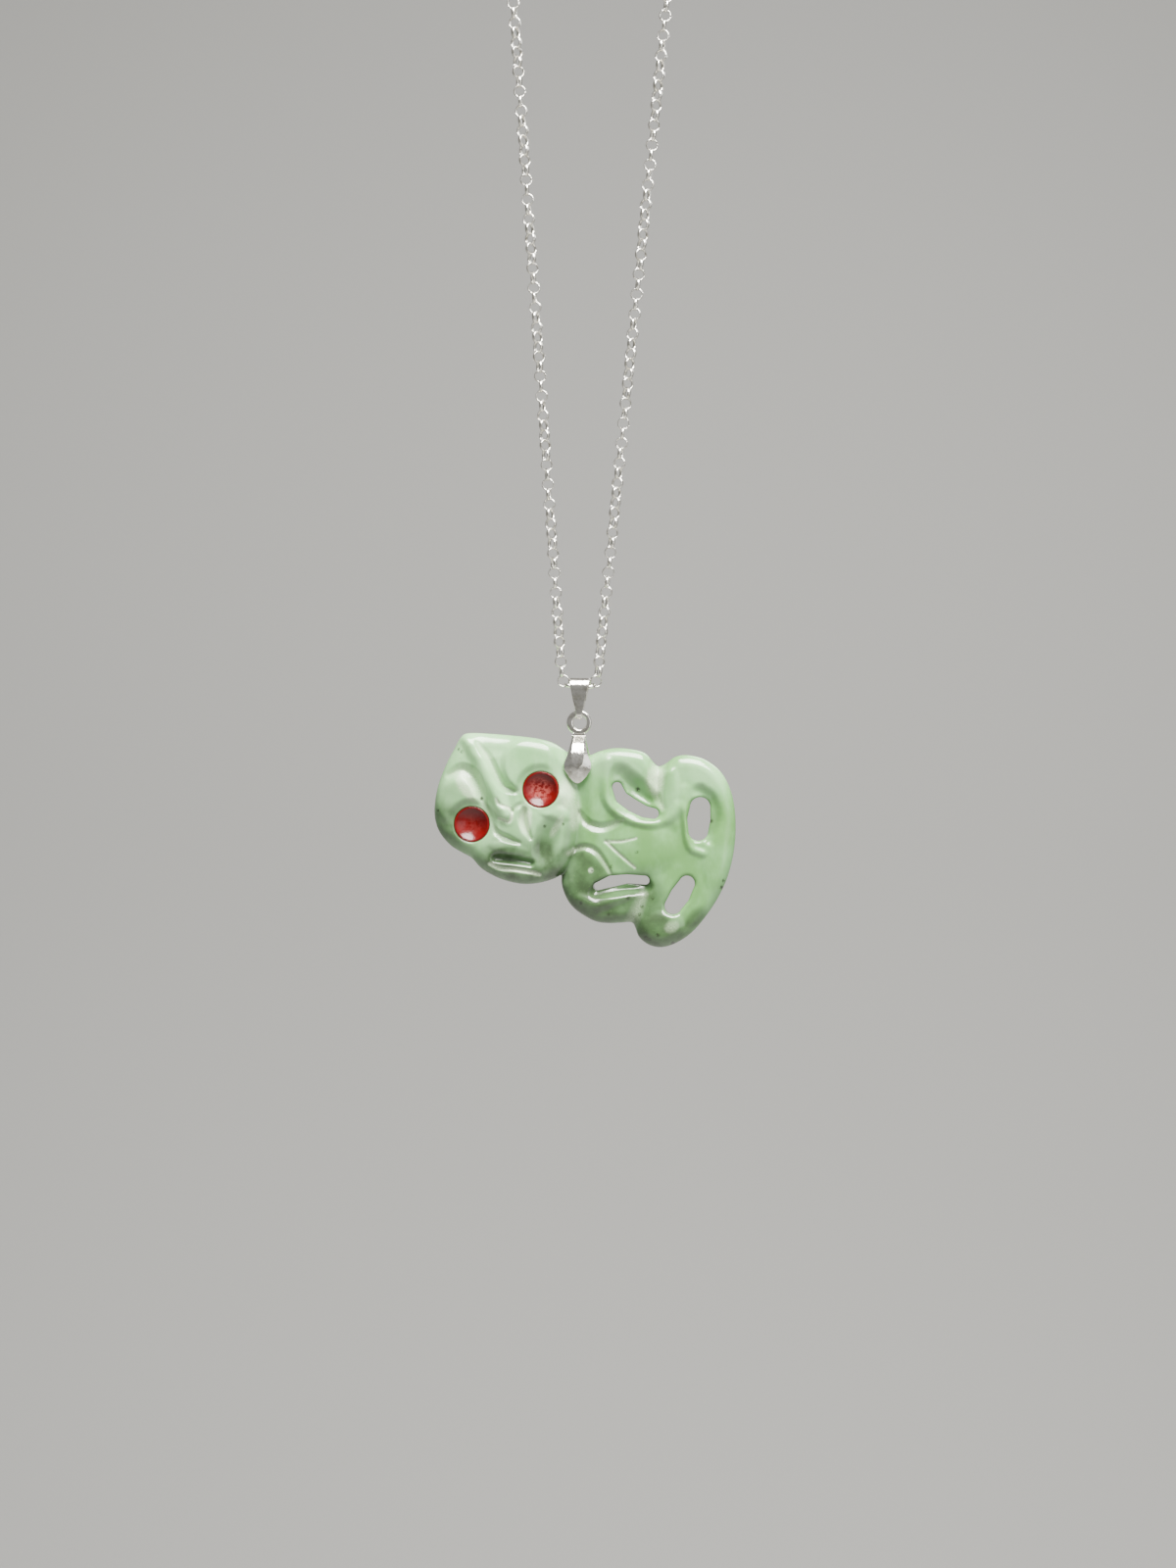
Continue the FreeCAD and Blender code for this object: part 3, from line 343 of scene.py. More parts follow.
def head_fall(u, v):
    return smooth(np.hypot((u - HEAD_MIDDLE[0]) / HEAD_REACH[0], (v - HEAD_MIDDLE[1]) / HEAD_REACH[1]))


def relief(u, v, level, swells, grooves, ridges):
    level = level + sum(swell(u, v, row) for row in swells.values())
    for name, rows in grooves.items():
        level = level - stroke(u, v, rows, name not in ROUND_GROOVES)[0]
    return level + sum(stroke(u, v, rows, False)[0] for rows in ridges.values())


def head_level(u, v):
    level = HEAD_LEVEL - HEAD_FALL * head_fall(u, v)
    for cu, cv, radius, rim, height in BROWS.values():
        level = level + height * smooth((radius - np.hypot(u - cu, v - cv)) / rim)
    level = relief(u, v, level, HEAD_SWELLS, HEAD_GROOVES, HEAD_RIDGES)
    for cu, cv, radius, rim_level in EYES.values():
        level = level + (rim_level - level) * smooth(
            (radius + EYE_LEVEL_ROUND + EYE_LEVEL_EASE - np.hypot(u - cu, v - cv)) / EYE_LEVEL_EASE)
    return soft_min(level, seat_cap(u, v), SEAT_BLEND)


def stone_field(u, v, y):
    """Negative inside the stone. The maps of the front view don't depend on the depth."""
    head = outline_distance(u, v, curve(HEAD_OUTLINE, True))
    body = outline_distance(u, v, curve(BODY_OUTLINE, True))
    slot = -np.minimum.reduce([slot_distance(u, v, rows) for rows in SLOTS.values()])
    front_head = head_level(u, v)
    front_body = soft_min(relief(u, v, BODY_LEVEL, BODY_SWELLS, BODY_GROOVES, BODY_RIDGES),
                          seat_cap(u, v), SEAT_BLEND)
    back_head = soft_min(BACK_LEVEL + HEAD_BACK * (1 - head_fall(u, v)), seat_cap(u, v), SEAT_BLEND)
    in_head = np.maximum(rounded(head, -y - front_head, HEAD_EDGE),
                         rounded(head, y - back_head, BACK_EDGE))
    in_body = np.maximum.reduce([
        rounded(body, -y - front_body, BODY_EDGE), rounded(body, y - BACK_LEVEL, BACK_EDGE),
        rounded(slot, -y - front_body, SLOT_EDGE), rounded(slot, y - BACK_LEVEL, SLOT_EDGE)])
    stone = soft_min(in_head, in_body, NECK_BLEND)
    for cu, cv, radius, level in EYES.values():
        wall = radius - np.hypot(u - cu, v - cv)
        floor = y + level - EYE_POCKET
        stone = rounded(stone, np.minimum(wall, -floor), HOLE_EDGE)
    return rounded(stone, DRILLED_HOLE / 2 - np.hypot(u, v), HOLE_EDGE)


def join_corners(values):
    """Fills a corner wherever inside meets inside only across a face's diagonal: no edge is pinched."""
    for p, q in ((0, 1), (1, 2), (0, 2)):
        views = {}
        for i in (0, 1):
            for j in (0, 1):
                cut = [slice(None)] * 3
                cut[p] = slice(i, values.shape[p] - 1 + i)
                cut[q] = slice(j, values.shape[q] - 1 + j)
                views[i, j] = values[tuple(cut)]
        a, b, c, d = (views[i, j] < 0 for i in (0, 1) for j in (0, 1))
        pinched = (a == d) & (b == c) & (a != b)
        views[0, 1][pinched & a] = -CORNER_FILL
        views[0, 0][pinched & ~a] = -CORNER_FILL


def surface_mesh(values, low):
    """Quads of the zero surface: one point in each cell that it crosses."""
    inside = values < 0
    sizes = np.array(values.shape)
    corners = [(i, j, k) for i in (0, 1) for j in (0, 1) for k in (0, 1)]
    count = sum(inside[tuple(slice(c[n], sizes[n] - 1 + c[n]) for n in range(3))].astype(np.int8)
                for c in corners)
    cells = np.argwhere((count > 0) & (count < 8))
    number = np.full(sizes - 1, -1)
    number[tuple(cells.T)] = np.arange(len(cells))
    total = np.zeros((len(cells), 3))
    hits = np.zeros(len(cells))
    held = {c: values[tuple((cells + c).T)] for c in corners}
    for a in corners:
        for n in range(3):
            if a[n]:
                continue
            b = tuple(a[m] + (m == n) for m in range(3))
            crossed = (held[a] < 0) != (held[b] < 0)
            t = held[a][crossed] / (held[a][crossed] - held[b][crossed])
            place = np.tile(np.array(a, float), (len(t), 1))
            place[:, n] = t
            total[crossed] += place
            hits[crossed] += 1
    points = np.array(low) + (cells + total / hits[:, None]) * GRID
    quads = []
    for n in range(3):
        here = inside[tuple(slice(0 if m == n else 1, sizes[m] - 1) for m in range(3))]
        ahead = inside[tuple(slice(1, sizes[m] - (m != n)) for m in range(3))]
        edges = np.argwhere(here != ahead) + [0 if m == n else 1 for m in range(3)]
        outward = inside[tuple(edges.T)]
        p = (np.arange(3) == (n + 1) % 3).astype(int)
        q = (np.arange(3) == (n + 2) % 3).astype(int)
        around = ((0, 0), (1, 0), (1, 1), (0, 1))
        ring = np.stack([number[tuple((edges - a * p - b * q).T)] for a, b in around], 1)
        ring[outward] = ring[outward][:, ::-1]
        quads.append(ring)
    return points, np.vstack(quads)


def settled(points):
    """The points moved along the field's slope onto its zero surface."""
    step = 0.02
    least_slope = 0.5
    for _ in range(SETTLE_PASSES):
        here = stone_field(*points.T)
        rises = [stone_field(*(points + np.eye(3)[n] * step).T) - here for n in range(3)]
        slope = np.stack(rises, 1) / step
        move = here[:, None] * slope / np.maximum((slope ** 2).sum(1), least_slope ** 2)[:, None]
        points = points - np.clip(move, -GRID / 2, GRID / 2)
    return points


def hung(u, v):
    """The stone's u and v as it hangs, turned a little from the tables."""
    c = math.cos(HANG_TURN)
    s = math.sin(HANG_TURN)
    return u * c - v * s, u * s + v * c


def build_jade():
    us, vs, ys = (np.arange(low, high + GRID, GRID) for low, high in STONE_BOX)
    u, v = np.meshgrid(us, vs, indexing="ij")
    values = stone_field(u[:, :, None], v[:, :, None], ys[None, None, :])
    for _ in range(CORNER_PASSES):
        join_corners(values)
    drawn, quads = surface_mesh(values, (us[0], vs[0], ys[0]))
    drawn = settled(drawn)
    u, v, y = drawn.T
    x, z = hung(u, v)
    mesh = bpy.data.meshes.new("jade_figure")
    mesh.from_pydata((np.stack([x, y, z], 1) * MM + np.array(HOLE)).tolist(), [], quads.tolist())
    mesh.shade_smooth()
    in_front = smooth((FROST_AND_HIGHLIGHT_END[0] - y) / FROST_AND_HIGHLIGHT_END[1])
    in_head = smooth((PALE_END[0] - u) / PALE_END[1])
    # Whitish along the grooves: frosty ground, and on the fine lines also a painted highlight.
    lines = [stroke(u, v, rows, True)[1] * (FINE_LINE_FROST_AND_HIGHLIGHT if name in FINE_LINES else GROOVE_FROST)
             for name, rows in (HEAD_GROOVES | BODY_GROOVES).items() if name not in GLOSSY_GROOVES]
    # Frost with a painted highlight on the knee's top, clouds with painted shade, and painted light on the
    # body's tops.
    frost_and_highlight, cloud_and_shade, pale_and_lit = (sum(swell(u, v, row) for row in zones.values()) for zones in (FROST_AND_HIGHLIGHTS, CLOUDS_AND_SHADE, LIT_TOPS))
    specks = [smooth(SPECK_REACH - np.hypot(u - cu, v - cv) / radius) for cu, cv, radius in SPECKS]
    notes = {
        "frost_and_highlight": (frost_and_highlight + np.maximum.reduce(lines)) * in_front,
        "cloud_and_shade": cloud_and_shade,
        "speck": np.maximum.reduce(specks),
        "pale_and_lit": in_head + pale_and_lit,
    }
    for name, amounts in notes.items():
        values = np.clip(amounts, 0, 1).astype(np.float32)
        mesh.attributes.new(name, "FLOAT", "POINT").data.foreach_set("value", values)
    return mesh


def piece(name, mesh, body, nodes, material):
    """Links a finished mesh, hangs it on its body and puts it in place of its CAD nodes."""
    made = bpy.data.objects.new(name, mesh)
    bpy.context.scene.collection.objects.link(made)
    mesh.materials.clear()
    mesh.materials.append(material)
    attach(made, body)
    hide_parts(*nodes)


class Nodes:
    """A node tree that is built node by node, with values or links given for the sockets."""

    def add(self, kind, sockets=None, **settings):
        node = self.tree.nodes.new(kind)
        for name, value in settings.items():
            setattr(node, name, value)
        for socket, value in (sockets or {}).items():
            self.feed(node.inputs[socket], value)
        return node

    def feed(self, socket, value):
        if isinstance(value, bpy.types.NodeSocket):
            self.tree.links.new(value, socket)
        else:
            socket.default_value = value


class Finish(Nodes):
    """A material's nodes round its shader."""

    def __init__(self, name, **settings):
        self.material = bpy.data.materials.new(name)
        self.material.use_nodes = True
        self.tree = self.material.node_tree
        self.shader = self.tree.nodes["Principled BSDF"]
        for socket, value in settings.items():
            self.shader.inputs[socket.replace("_", " ")].default_value = value

    def place(self, scale=(1, 1, 1)):
        """Object coordinates in millimetres, from the drilled hole."""
        coordinates = self.add("ShaderNodeTexCoord").outputs["Object"]
        centred = self.add("ShaderNodeVectorMath", {0: coordinates, 1: HOLE}, operation="SUBTRACT")
        sizes = [n / MM for n in scale]
        scaled = self.add("ShaderNodeVectorMath", {0: centred.outputs[0], 1: sizes}, operation="MULTIPLY")
        return scaled.outputs[0]

    def noise(self, where, scale, detail=3.0, rough=0.5):
        return self.add("ShaderNodeTexNoise", {"Vector": where, "Scale": scale, "Detail": detail,
                                               "Roughness": rough}).outputs["Fac"]

    def attribute(self, name):
        return self.add("ShaderNodeAttribute", attribute_name=name).outputs["Fac"]

    def span(self, value, low, high, to_low=0.0, to_high=1.0):
        return self.add("ShaderNodeMapRange", {"Value": value, "From Min": low, "From Max": high,
                                               "To Min": to_low, "To Max": to_high},
                        interpolation_type="SMOOTHSTEP").outputs["Result"]

    def math(self, kind, a, b):
        return self.add("ShaderNodeMath", {0: a, 1: b}, operation=kind, use_clamp=True).outputs[0]

    def mix(self, amount, a, b):
        """Two colours, each a socket or three numbers, mixed by an amount."""
        a, b = (value if isinstance(value, bpy.types.NodeSocket) else (*value, 1) for value in (a, b))
        return self.add("ShaderNodeMix", {0: amount, 6: a, 7: b}, data_type="RGBA").outputs[2]

    def wire(self, value, socket):
        self.tree.links.new(value, self.shader.inputs[socket])

    def bump(self, height, distance, strength=1.0):
        """Relief of the look, its distance in millimetres."""
        node = self.add("ShaderNodeBump", {"Height": height, "Distance": distance * MM, "Strength": strength})
        self.wire(node.outputs["Normal"], "Normal")


JADE_MINT = (0.20, 0.44, 0.17)
# The pale green is the head's paler stone, and also painted light on the tops of the body.
JADE_PALE_AND_LIT = (0.32, 0.58, 0.28)
JADE_GREEN = (0.125, 0.30, 0.085)
# The deep green is the stone's clouds and also painted shade on the lower and left parts.
JADE_DEEP_AND_SHADE = (0.040, 0.072, 0.030)
# The whitish frost colour also paints highlights on the knee's top and along the fine lines.
JADE_FROST_AND_HIGHLIGHT = (0.56, 0.71, 0.47)
JADE_SPECK = (0.03, 0.05, 0.02)


def jade():
    f = Finish("polished_jade", Subsurface_Weight=0.15, Subsurface_Scale=0.7 * MM, IOR=1.6,
               Coat_Weight=0.12, Coat_Roughness=0.1)
    f.shader.inputs["Subsurface Radius"].default_value = (0.8, 1.1, 0.75)
    where = f.place()
    wisps = f.noise(f.place((1, 1, 0.6)), 0.16, 4, 0.6)
    colour = f.mix(f.span(wisps, 0.35, 0.65), JADE_GREEN, JADE_MINT)
    # Paler: the head's paler stone, and painted light on the tops of the body.
    pale_and_lit = f.mix(f.span(wisps, 0.3, 0.7), JADE_MINT, JADE_PALE_AND_LIT)
    colour = f.mix(f.attribute("pale_and_lit"), colour, pale_and_lit)
    mottle = f.noise(where, 0.32, 3, 0.5)
    # Darker green: clouds in the stone, and painted shade on the chin, cheek, hand, knee and other lower and
    # left parts.
    cloud_and_shade = f.math("MULTIPLY", f.attribute("cloud_and_shade"), f.span(mottle, 0.3, 0.7, 0.7, 1.0))
    colour = f.mix(cloud_and_shade, colour, JADE_DEEP_AND_SHADE)
    colour = f.mix(f.span(f.noise(where, 2.6, 3), 0.62, 0.75, 0, 0.25), colour, JADE_GREEN)
    grit = f.noise(where, 4.0, 2)
    # Whitish: frosty ground, and painted highlights on the knee's top and along the fine lines.
    frost_and_highlight = f.math("MULTIPLY", f.attribute("frost_and_highlight"), f.span(grit, 0.3, 0.7, 0.6, 1.0))
    colour = f.mix(frost_and_highlight, colour, JADE_FROST_AND_HIGHLIGHT)
    speck = f.math("MULTIPLY", f.attribute("speck"), f.span(f.noise(where, 3.1, 2), 0.3, 0.5))
    colour = f.mix(speck, colour, JADE_SPECK)
    f.wire(colour, "Base Color")
    f.wire(f.span(frost_and_highlight, 0, 1, 0.21, 0.5), "Roughness")
    scratches = f.noise(f.place((0.4, 1, 3.0)), 2.2, 4, 0.6)
    height = f.math("ADD", f.span(scratches, 0, 1, 0, 0.15), f.math("MULTIPLY", frost_and_highlight, grit))
    f.bump(height, 0.035)
    return f.material


piece("jade_figure", build_jade(), "figure", ["tiki"], jade())

# The eyes: two discs of red resin set in pockets in the stone, each with a hollow ground in its face.
# The hollows are glossy, and the right one is worn pale and scratched in the middle.
EYE_PLAY = 0.07
EYE_HOLLOW = 1.0
EYE_RIM = 0.18
EYE_RIM_DEPTH = 0.8
EYE_FOOT = 0.1
EYE_STEPS = 72
EYE_HOLLOW_STEPS = 14
EYE_RIM_STEPS = 7
EYE_RED = (0.075, 0.0004, 0.0006)
EYE_LIGHTER_RED = (0.15, 0.001, 0.0014)
EYE_EDGE_RED = (0.42, 0.02, 0.016)
EYE_WORN_RED = (0.50, 0.11, 0.09)
# How much of each hollow is worn pale.
EYE_WEAR = {"eye_right": 0.75, "eye_left": 0.12}


def lathe(outline, steps):
    """Turns an outline of radius and depth round the Y axis. The outline runs from axis to axis."""
    mesh = bmesh.new()
    rings = []
    for radius, depth in outline:
        if radius < 1e-6:
            rings.append([mesh.verts.new((0, depth, 0))])
            continue
        turns = [2 * math.pi * k / steps for k in range(steps)]
        rings.append([mesh.verts.new((radius * math.cos(turn), depth, radius * math.sin(turn)))
                      for turn in turns])
    for near, far in zip(rings[:-1], rings[1:]):
        for k in range(steps):
            a, b = near[k % len(near)], near[(k + 1) % len(near)]
            c, d = far[(k + 1) % len(far)], far[k % len(far)]
            corners = list(dict.fromkeys([a, b, c, d]))
            if len(corners) > 2:
                mesh.faces.new(corners)
    bmesh.ops.recalc_face_normals(mesh, faces=mesh.faces)
    return mesh


def eye_outline(radius):
    """Radius and depth from the middle of the hollow over the rim to the foot in the pocket."""
    outer = radius - EYE_PLAY
    inner = outer - EYE_RIM
    bottom = EYE_POCKET - EYE_PLAY
    ball = (inner ** 2 + EYE_HOLLOW ** 2) / (2 * EYE_HOLLOW)
    half = math.asin(inner / ball)
    rows = []
    for k in range(EYE_HOLLOW_STEPS + 1):
        angle = half * k / EYE_HOLLOW_STEPS
        rows.append((ball * math.sin(angle), EYE_HOLLOW - ball * (1 - math.cos(angle))))
    soft = EYE_RIM / 2
    for k in range(1, EYE_RIM_STEPS):
        angle = math.pi * k / EYE_RIM_STEPS
        rows.append((inner + soft - soft * math.cos(angle), soft * EYE_RIM_DEPTH * (1 - math.sin(angle))))
    rows += [(outer, EYE_RIM_DEPTH * soft), (outer, bottom - EYE_FOOT)]
    rows += [(outer - EYE_FOOT, bottom), (0, bottom)]
    return rows


def red_resin(name, centre, radius, wear):
    f = Finish(name, IOR=1.42, Coat_Weight=0.06, Coat_Roughness=0.08)
    where = f.place()
    offset = [(centre - HOLE)[n] / MM for n in range(3)]
    away = f.add("ShaderNodeVectorMath", {0: where, 1: offset}, operation="DISTANCE").outputs["Value"]
    scuffs = f.noise(where, 1.7, 6, 0.7)
    patch = f.span(away, radius * 0.25, radius * 0.85, wear, 0)
    worn = f.math("MULTIPLY", patch, f.span(scuffs, 0.4, 0.6))
    colour = f.mix(f.noise(where, 0.8, 2), EYE_RED, EYE_LIGHTER_RED)
    colour = f.mix(f.span(away, radius * 0.9, radius * 1.15), colour, EYE_EDGE_RED)
    colour = f.mix(worn, colour, EYE_WORN_RED)
    f.wire(colour, "Base Color")
    f.wire(f.span(worn, 0, 1, 0.24, 0.45), "Roughness")
    f.bump(f.noise(where, 1.1, 3), 0.12, 0.6)
    return f.material


for name, (u, v, radius, level) in EYES.items():
    x, z = hung(u, v)
    centre = HOLE + Vector((x, -level, z)) * MM
    turned = lathe(eye_outline(radius), EYE_STEPS)
    bmesh.ops.scale(turned, vec=(MM, MM, MM), verts=turned.verts)
    bmesh.ops.translate(turned, vec=centre, verts=turned.verts)
    mesh = bpy.data.meshes.new(name + "_inlay")
    turned.to_mesh(mesh)
    turned.free()
    mesh.shade_smooth()
    material = red_resin(name + "_resin", centre, radius, EYE_WEAR[name])
    piece(name + "_inlay", mesh, "figure", [name], material)

# The pinch bail: a cast silver ring, neck and collar with two drop-shaped leaves, faceted and polished.
# The leaves straddle the stone, and a prong on each was pressed into the drilled hole from its side.
RING = pivots["drop_swing"]
RING_DIAMETER = 4.0
RING_HOLE = 2.1
RING_HOLE_SHIFT = 0.15
RING_DEPTH = 1.1
RING_SQUARENESS = 3.2
COLLAR = (2.3, 1.3, 0.25)
NECK = (1.9, 1.0)
NECK_SINK = 0.35
PRONG_DIAMETER = 1.0
PRONG_GAP = 0.5
PRONG_ROOT = 0.2
PRONG_TIP = 0.15
PRONG_TIP_SHARE = 0.7
PRONG_STEPS = 24
RING_STEPS = (96, 24)
# height from the drilled hole, half width, half width of the flat face, face, side and inner depth
LEAF_SECTIONS = [
    (5.5, 0.95, 0.70, 0.62, 0.50, 0.02), (4.9, 1.10, 0.80, 1.35, 1.10, 0.62),
    (4.2, 1.22, 0.86, 2.25, 1.95, 1.50), (3.2, 1.45, 0.95, 2.90, 2.60, 2.20),
    (2.3, 1.70, 1.05, 3.15, 2.85, 2.45), (1.0, 2.20, 0.80, 3.35, 2.85, 2.45),
    (0.1, 2.15, 0.06, 3.35, 2.80, 2.45), (-1.1, 1.35, 0.05, 3.05, 2.70, 2.45),
    (-1.8, 0.70, 0.04, 2.80, 2.62, 2.45), (-2.1, 0.16, 0.03, 2.66, 2.58, 2.45),
]
ROUNDED_EDGE = 0.07 * MM
SILVER_TONE = (0.93, 0.91, 0.84)
CAST_TONE = (0.97, 0.95, 0.88)
SILVER_STAIN = (0.60, 0.57, 0.47)


def bridge(mesh, rings, joined):
    """Quads between rings of equally many points, with the last ring joined to the first or both capped."""
    made = [[mesh.verts.new(place) for place in ring] for ring in rings]
    count = len(made[0])
    for near, far in zip(made, made[1:] + made[:1] if joined else made[1:]):
        for k in range(count):
            mesh.faces.new((near[k], near[(k + 1) % count], far[(k + 1) % count], far[k]))
    if not joined:
        mesh.faces.new(made[0])
        mesh.faces.new(made[-1])


def superellipse(angle, power):
    c = math.cos(angle)
    s = math.sin(angle)
    return math.copysign(abs(c) ** (2 / power), c), math.copysign(abs(s) ** (2 / power), s)


def cast_ring(mesh):
    """A ring with a round-cornered section, its hole a little off its middle."""
    steps, around = RING_STEPS
    middle = Vector((0, RING.y, RING.z))
    rings = []
    for k in range(steps):
        turn = 2 * math.pi * k / steps
        c, s = math.cos(turn), math.sin(turn)
        shift = RING_HOLE_SHIFT * c
        inner = shift + math.sqrt((RING_HOLE / 2) ** 2 - (RING_HOLE_SHIFT * s) ** 2)
        outer = RING_DIAMETER / 2
        ring = []
        for j in range(around):
            a, b = superellipse(2 * math.pi * j / around, RING_SQUARENESS)
            reach = (inner + outer) / 2 + (outer - inner) / 2 * a
            ring.append(middle + Vector((reach * c, RING_DEPTH / 2 * b, reach * s)) * MM)
        rings.append(ring)
    bridge(mesh, rings, True)


def block(mesh, sizes, middle):
    x, y, z = (n / 2 * MM for n in sizes)
    rings = [[middle + Vector((a * x, b * y, level)) for a, b in ((-1, -1), (1, -1), (1, 1), (-1, 1))]
             for level in (-z, z)]
    bridge(mesh, rings, False)


def leaf(mesh, side):
    """One leaf and its prong, in front of the stone or behind it."""
    rings = []
    for z, width, flat, face, edge, inner in LEAF_SECTIONS:
        half = [(width, inner), (width, edge), (flat, face)]
        corners = [(-x, y) for x, y in half] + half[::-1]
        rings.append([HOLE + Vector((x, side * y, z)) * MM for x, y in corners])
    bridge(mesh, rings, False)
    root = LEAF_SECTIONS[-1][-1] + PRONG_ROOT
    prong = []
    for depth, share in ((PRONG_GAP, PRONG_TIP_SHARE), (PRONG_GAP + PRONG_TIP, 1), (root, 1)):
        radius = PRONG_DIAMETER / 2 * share
        turns = [2 * math.pi * k / PRONG_STEPS for k in range(PRONG_STEPS)]
        prong.append([HOLE + Vector((radius * math.cos(turn), side * depth, radius * math.sin(turn))) * MM
                      for turn in turns])
    bridge(mesh, prong, False)


def finished(name, mesh, bevel, angle=18):
    """A plain mesh with its edges rounded where they are sharper than the angle in degrees."""
    bmesh.ops.recalc_face_normals(mesh, faces=mesh.faces)
    data = bpy.data.meshes.new(name)
    mesh.to_mesh(data)
    mesh.free()
    draft = bpy.data.objects.new(name + "_draft", data)
    bpy.context.scene.collection.objects.link(draft)
    if bevel:
        modifier = draft.modifiers.new("edges", "BEVEL")
        modifier.width = bevel
        modifier.segments = 3
        modifier.limit_method = "ANGLE"
        modifier.angle_limit = math.radians(angle)
        modifier.harden_normals = True
    data.shade_smooth()
    plain = bpy.data.meshes.new_from_object(draft.evaluated_get(bpy.context.evaluated_depsgraph_get()))
    bpy.data.objects.remove(draft)
    plain.name = name
    return plain


def silver(name, scuff, tone=SILVER_TONE):
    f = Finish(name, Metallic=1.0, IOR=1.5)
    where = f.place()
    stain = f.noise(where, 0.9, 4, 0.6)
    f.wire(f.mix(f.span(stain, 0.45, 0.7, 0, 0.7), tone, SILVER_STAIN), "Base Color")
    fine = f.noise(f.place((3, 3, 0.8)), 3.0, 4, 0.6)
    f.wire(f.span(fine, 0.3, 0.75, 0.14, 0.14 + 0.35 * scuff), "Roughness")
    dents = f.noise(where, 1.3, 3, 0.55)
    height = f.math("ADD", f.span(dents, 0, 1, 0, 0.8), f.span(fine, 0, 1, 0, 0.12))
    f.bump(height, 0.16 * scuff)
    return f.material


clip_mesh = bmesh.new()
cast_ring(clip_mesh)
neck_low = LEAF_SECTIONS[0][0] - NECK_SINK
ring_level = (RING - HOLE).z / MM
neck_top = ring_level - RING_DIAMETER / 2 + NECK_SINK
block(clip_mesh, (*NECK, neck_top - neck_low), HOLE + Vector((0, 0, (neck_low + neck_top) / 2)) * MM)
block(clip_mesh, COLLAR, HOLE + Vector((0, 0, LEAF_SECTIONS[0][0] - COLLAR[2] / 2)) * MM)
leaf(clip_mesh, -1)
leaf(clip_mesh, 1)
piece("pinch_clip", finished("pinch_clip", clip_mesh, ROUNDED_EDGE), "clip", ["pinch_bail"],
      silver("cast_silver", 0.25, CAST_TONE))

# The upper bail: a strip of flat silver bent to a teardrop loop round the chain and through the ring.
# It is widest over the chain and narrows to its foot, and its face is lightly waved by the bending.
CHAIN = pivots["bail_swing"]
CHAIN_TUBE = 1.9
BAIL_STRIP = 0.34
BAIL_TOP_RADIUS = 1.25
BAIL_CHAIN_GAP = 0.15
BAIL_FOOT_RADIUS = 0.85
BAIL_FOOT_DROP = 0.25
BAIL_WAVE = 0.016
BAIL_WAVE_LENGTH = 1.7
BAIL_STEP = 0.2
BAIL_BEND_STEPS = 28
# height from the chain's middle, half width
BAIL_TAPER = [
    (2.0, 1.55), (0.7, 1.55), (-0.6, 1.3), (-1.9, 1.05), (-3.2, 0.7), (-4.7, 0.42), (-5.6, 0.40),
]


def bail_route():
    """Points round the inside of the loop with their outward directions, in the YZ plane."""
    top_z = CHAIN_TUBE / 2 + BAIL_CHAIN_GAP - BAIL_TOP_RADIUS
    foot_z = (RING - CHAIN).z / MM + RING_HOLE / 2 - BAIL_FOOT_DROP + BAIL_FOOT_RADIUS
    slope = math.asin((BAIL_TOP_RADIUS - BAIL_FOOT_RADIUS) / (top_z - foot_z))
    route = []
    bends = ((BAIL_TOP_RADIUS, top_z, -slope, math.pi + 2 * slope),
             (BAIL_FOOT_RADIUS, foot_z, math.pi + slope, math.pi - 2 * slope))
    for radius, middle, start, turn in bends:
        for k in range(BAIL_BEND_STEPS + 1):
            angle = start + turn * k / BAIL_BEND_STEPS
            out = Vector((0, math.cos(angle), math.sin(angle)))
            route.append((Vector((0, 0, middle)) + out * radius, out))
    filled = []
    for k, (place, out) in enumerate(route):
        ahead, ahead_out = route[(k + 1) % len(route)]
        count = max(1, round((ahead - place).length / BAIL_STEP))
        filled += [(place.lerp(ahead, n / count), out.lerp(ahead_out, n / count)) for n in range(count)]
    return filled


def build_bail():
    heights, widths = zip(*reversed(BAIL_TAPER))
    mesh = bmesh.new()
    rings = []
    for inner, out in bail_route():
        w = float(np.interp(inner.z, heights, widths))
        wave = BAIL_WAVE * math.sin(2 * math.pi * inner.z / BAIL_WAVE_LENGTH) * float(smooth(-inner.z))
        outer = inner + out * (BAIL_STRIP - BAIL_WAVE + wave)
        corners = ((-w, inner), (-w, outer), (0, outer), (w, outer), (w, inner), (0, inner))
        rings.append([CHAIN + (Vector((x, 0, 0)) + at) * MM for x, at in corners])
    bridge(mesh, rings, True)
    return mesh


piece("strip_bail", finished("strip_bail", build_bail(), ROUNDED_EDGE, 40), "bail", ["chain_bail"],
      silver("strip_silver", 0.3))

# The chain: round links of oval silver wire, each at right angles to the last, twisted a little along
# both strands. It runs from the right jump ring down through the bail and up to the left jump ring.
# Its links slide a little round the loop, so that one of them stands upright in the bail.
LOOP_HEIGHT = -CHAIN.z / MM
STRAND_LEAN = math.radians(4.98)
BEND_RADIUS = 1.2
BEND_HALF_RUN = 1.62
TOP_HALF_RUN = 8.5
LINKS = 278
LINK_OUTER = 2.04
LINK_WIRE = (0.22, 0.6)
RIGHT_HALF_TURNS = 5
LEFT_HALF_TURNS = 7
MIDDLE_LINK = 137
SLIDE = 1.06
LINK_SIDES = (12, 6)
CLASP_RADIUS = 2.5
CLASP_WIRE = 1.0
CLASP_EYE = 0.95
CLASP_EYE_WIRE = 0.56
JUMP_RADIUS = 1.5
JUMP_WIRE = 0.6
END_LINK = 0.75
END_LINK_WIRE = 0.4
METAL_GAP = 0.1
CORNER_STEPS = 24
BEND_STEPS = 16


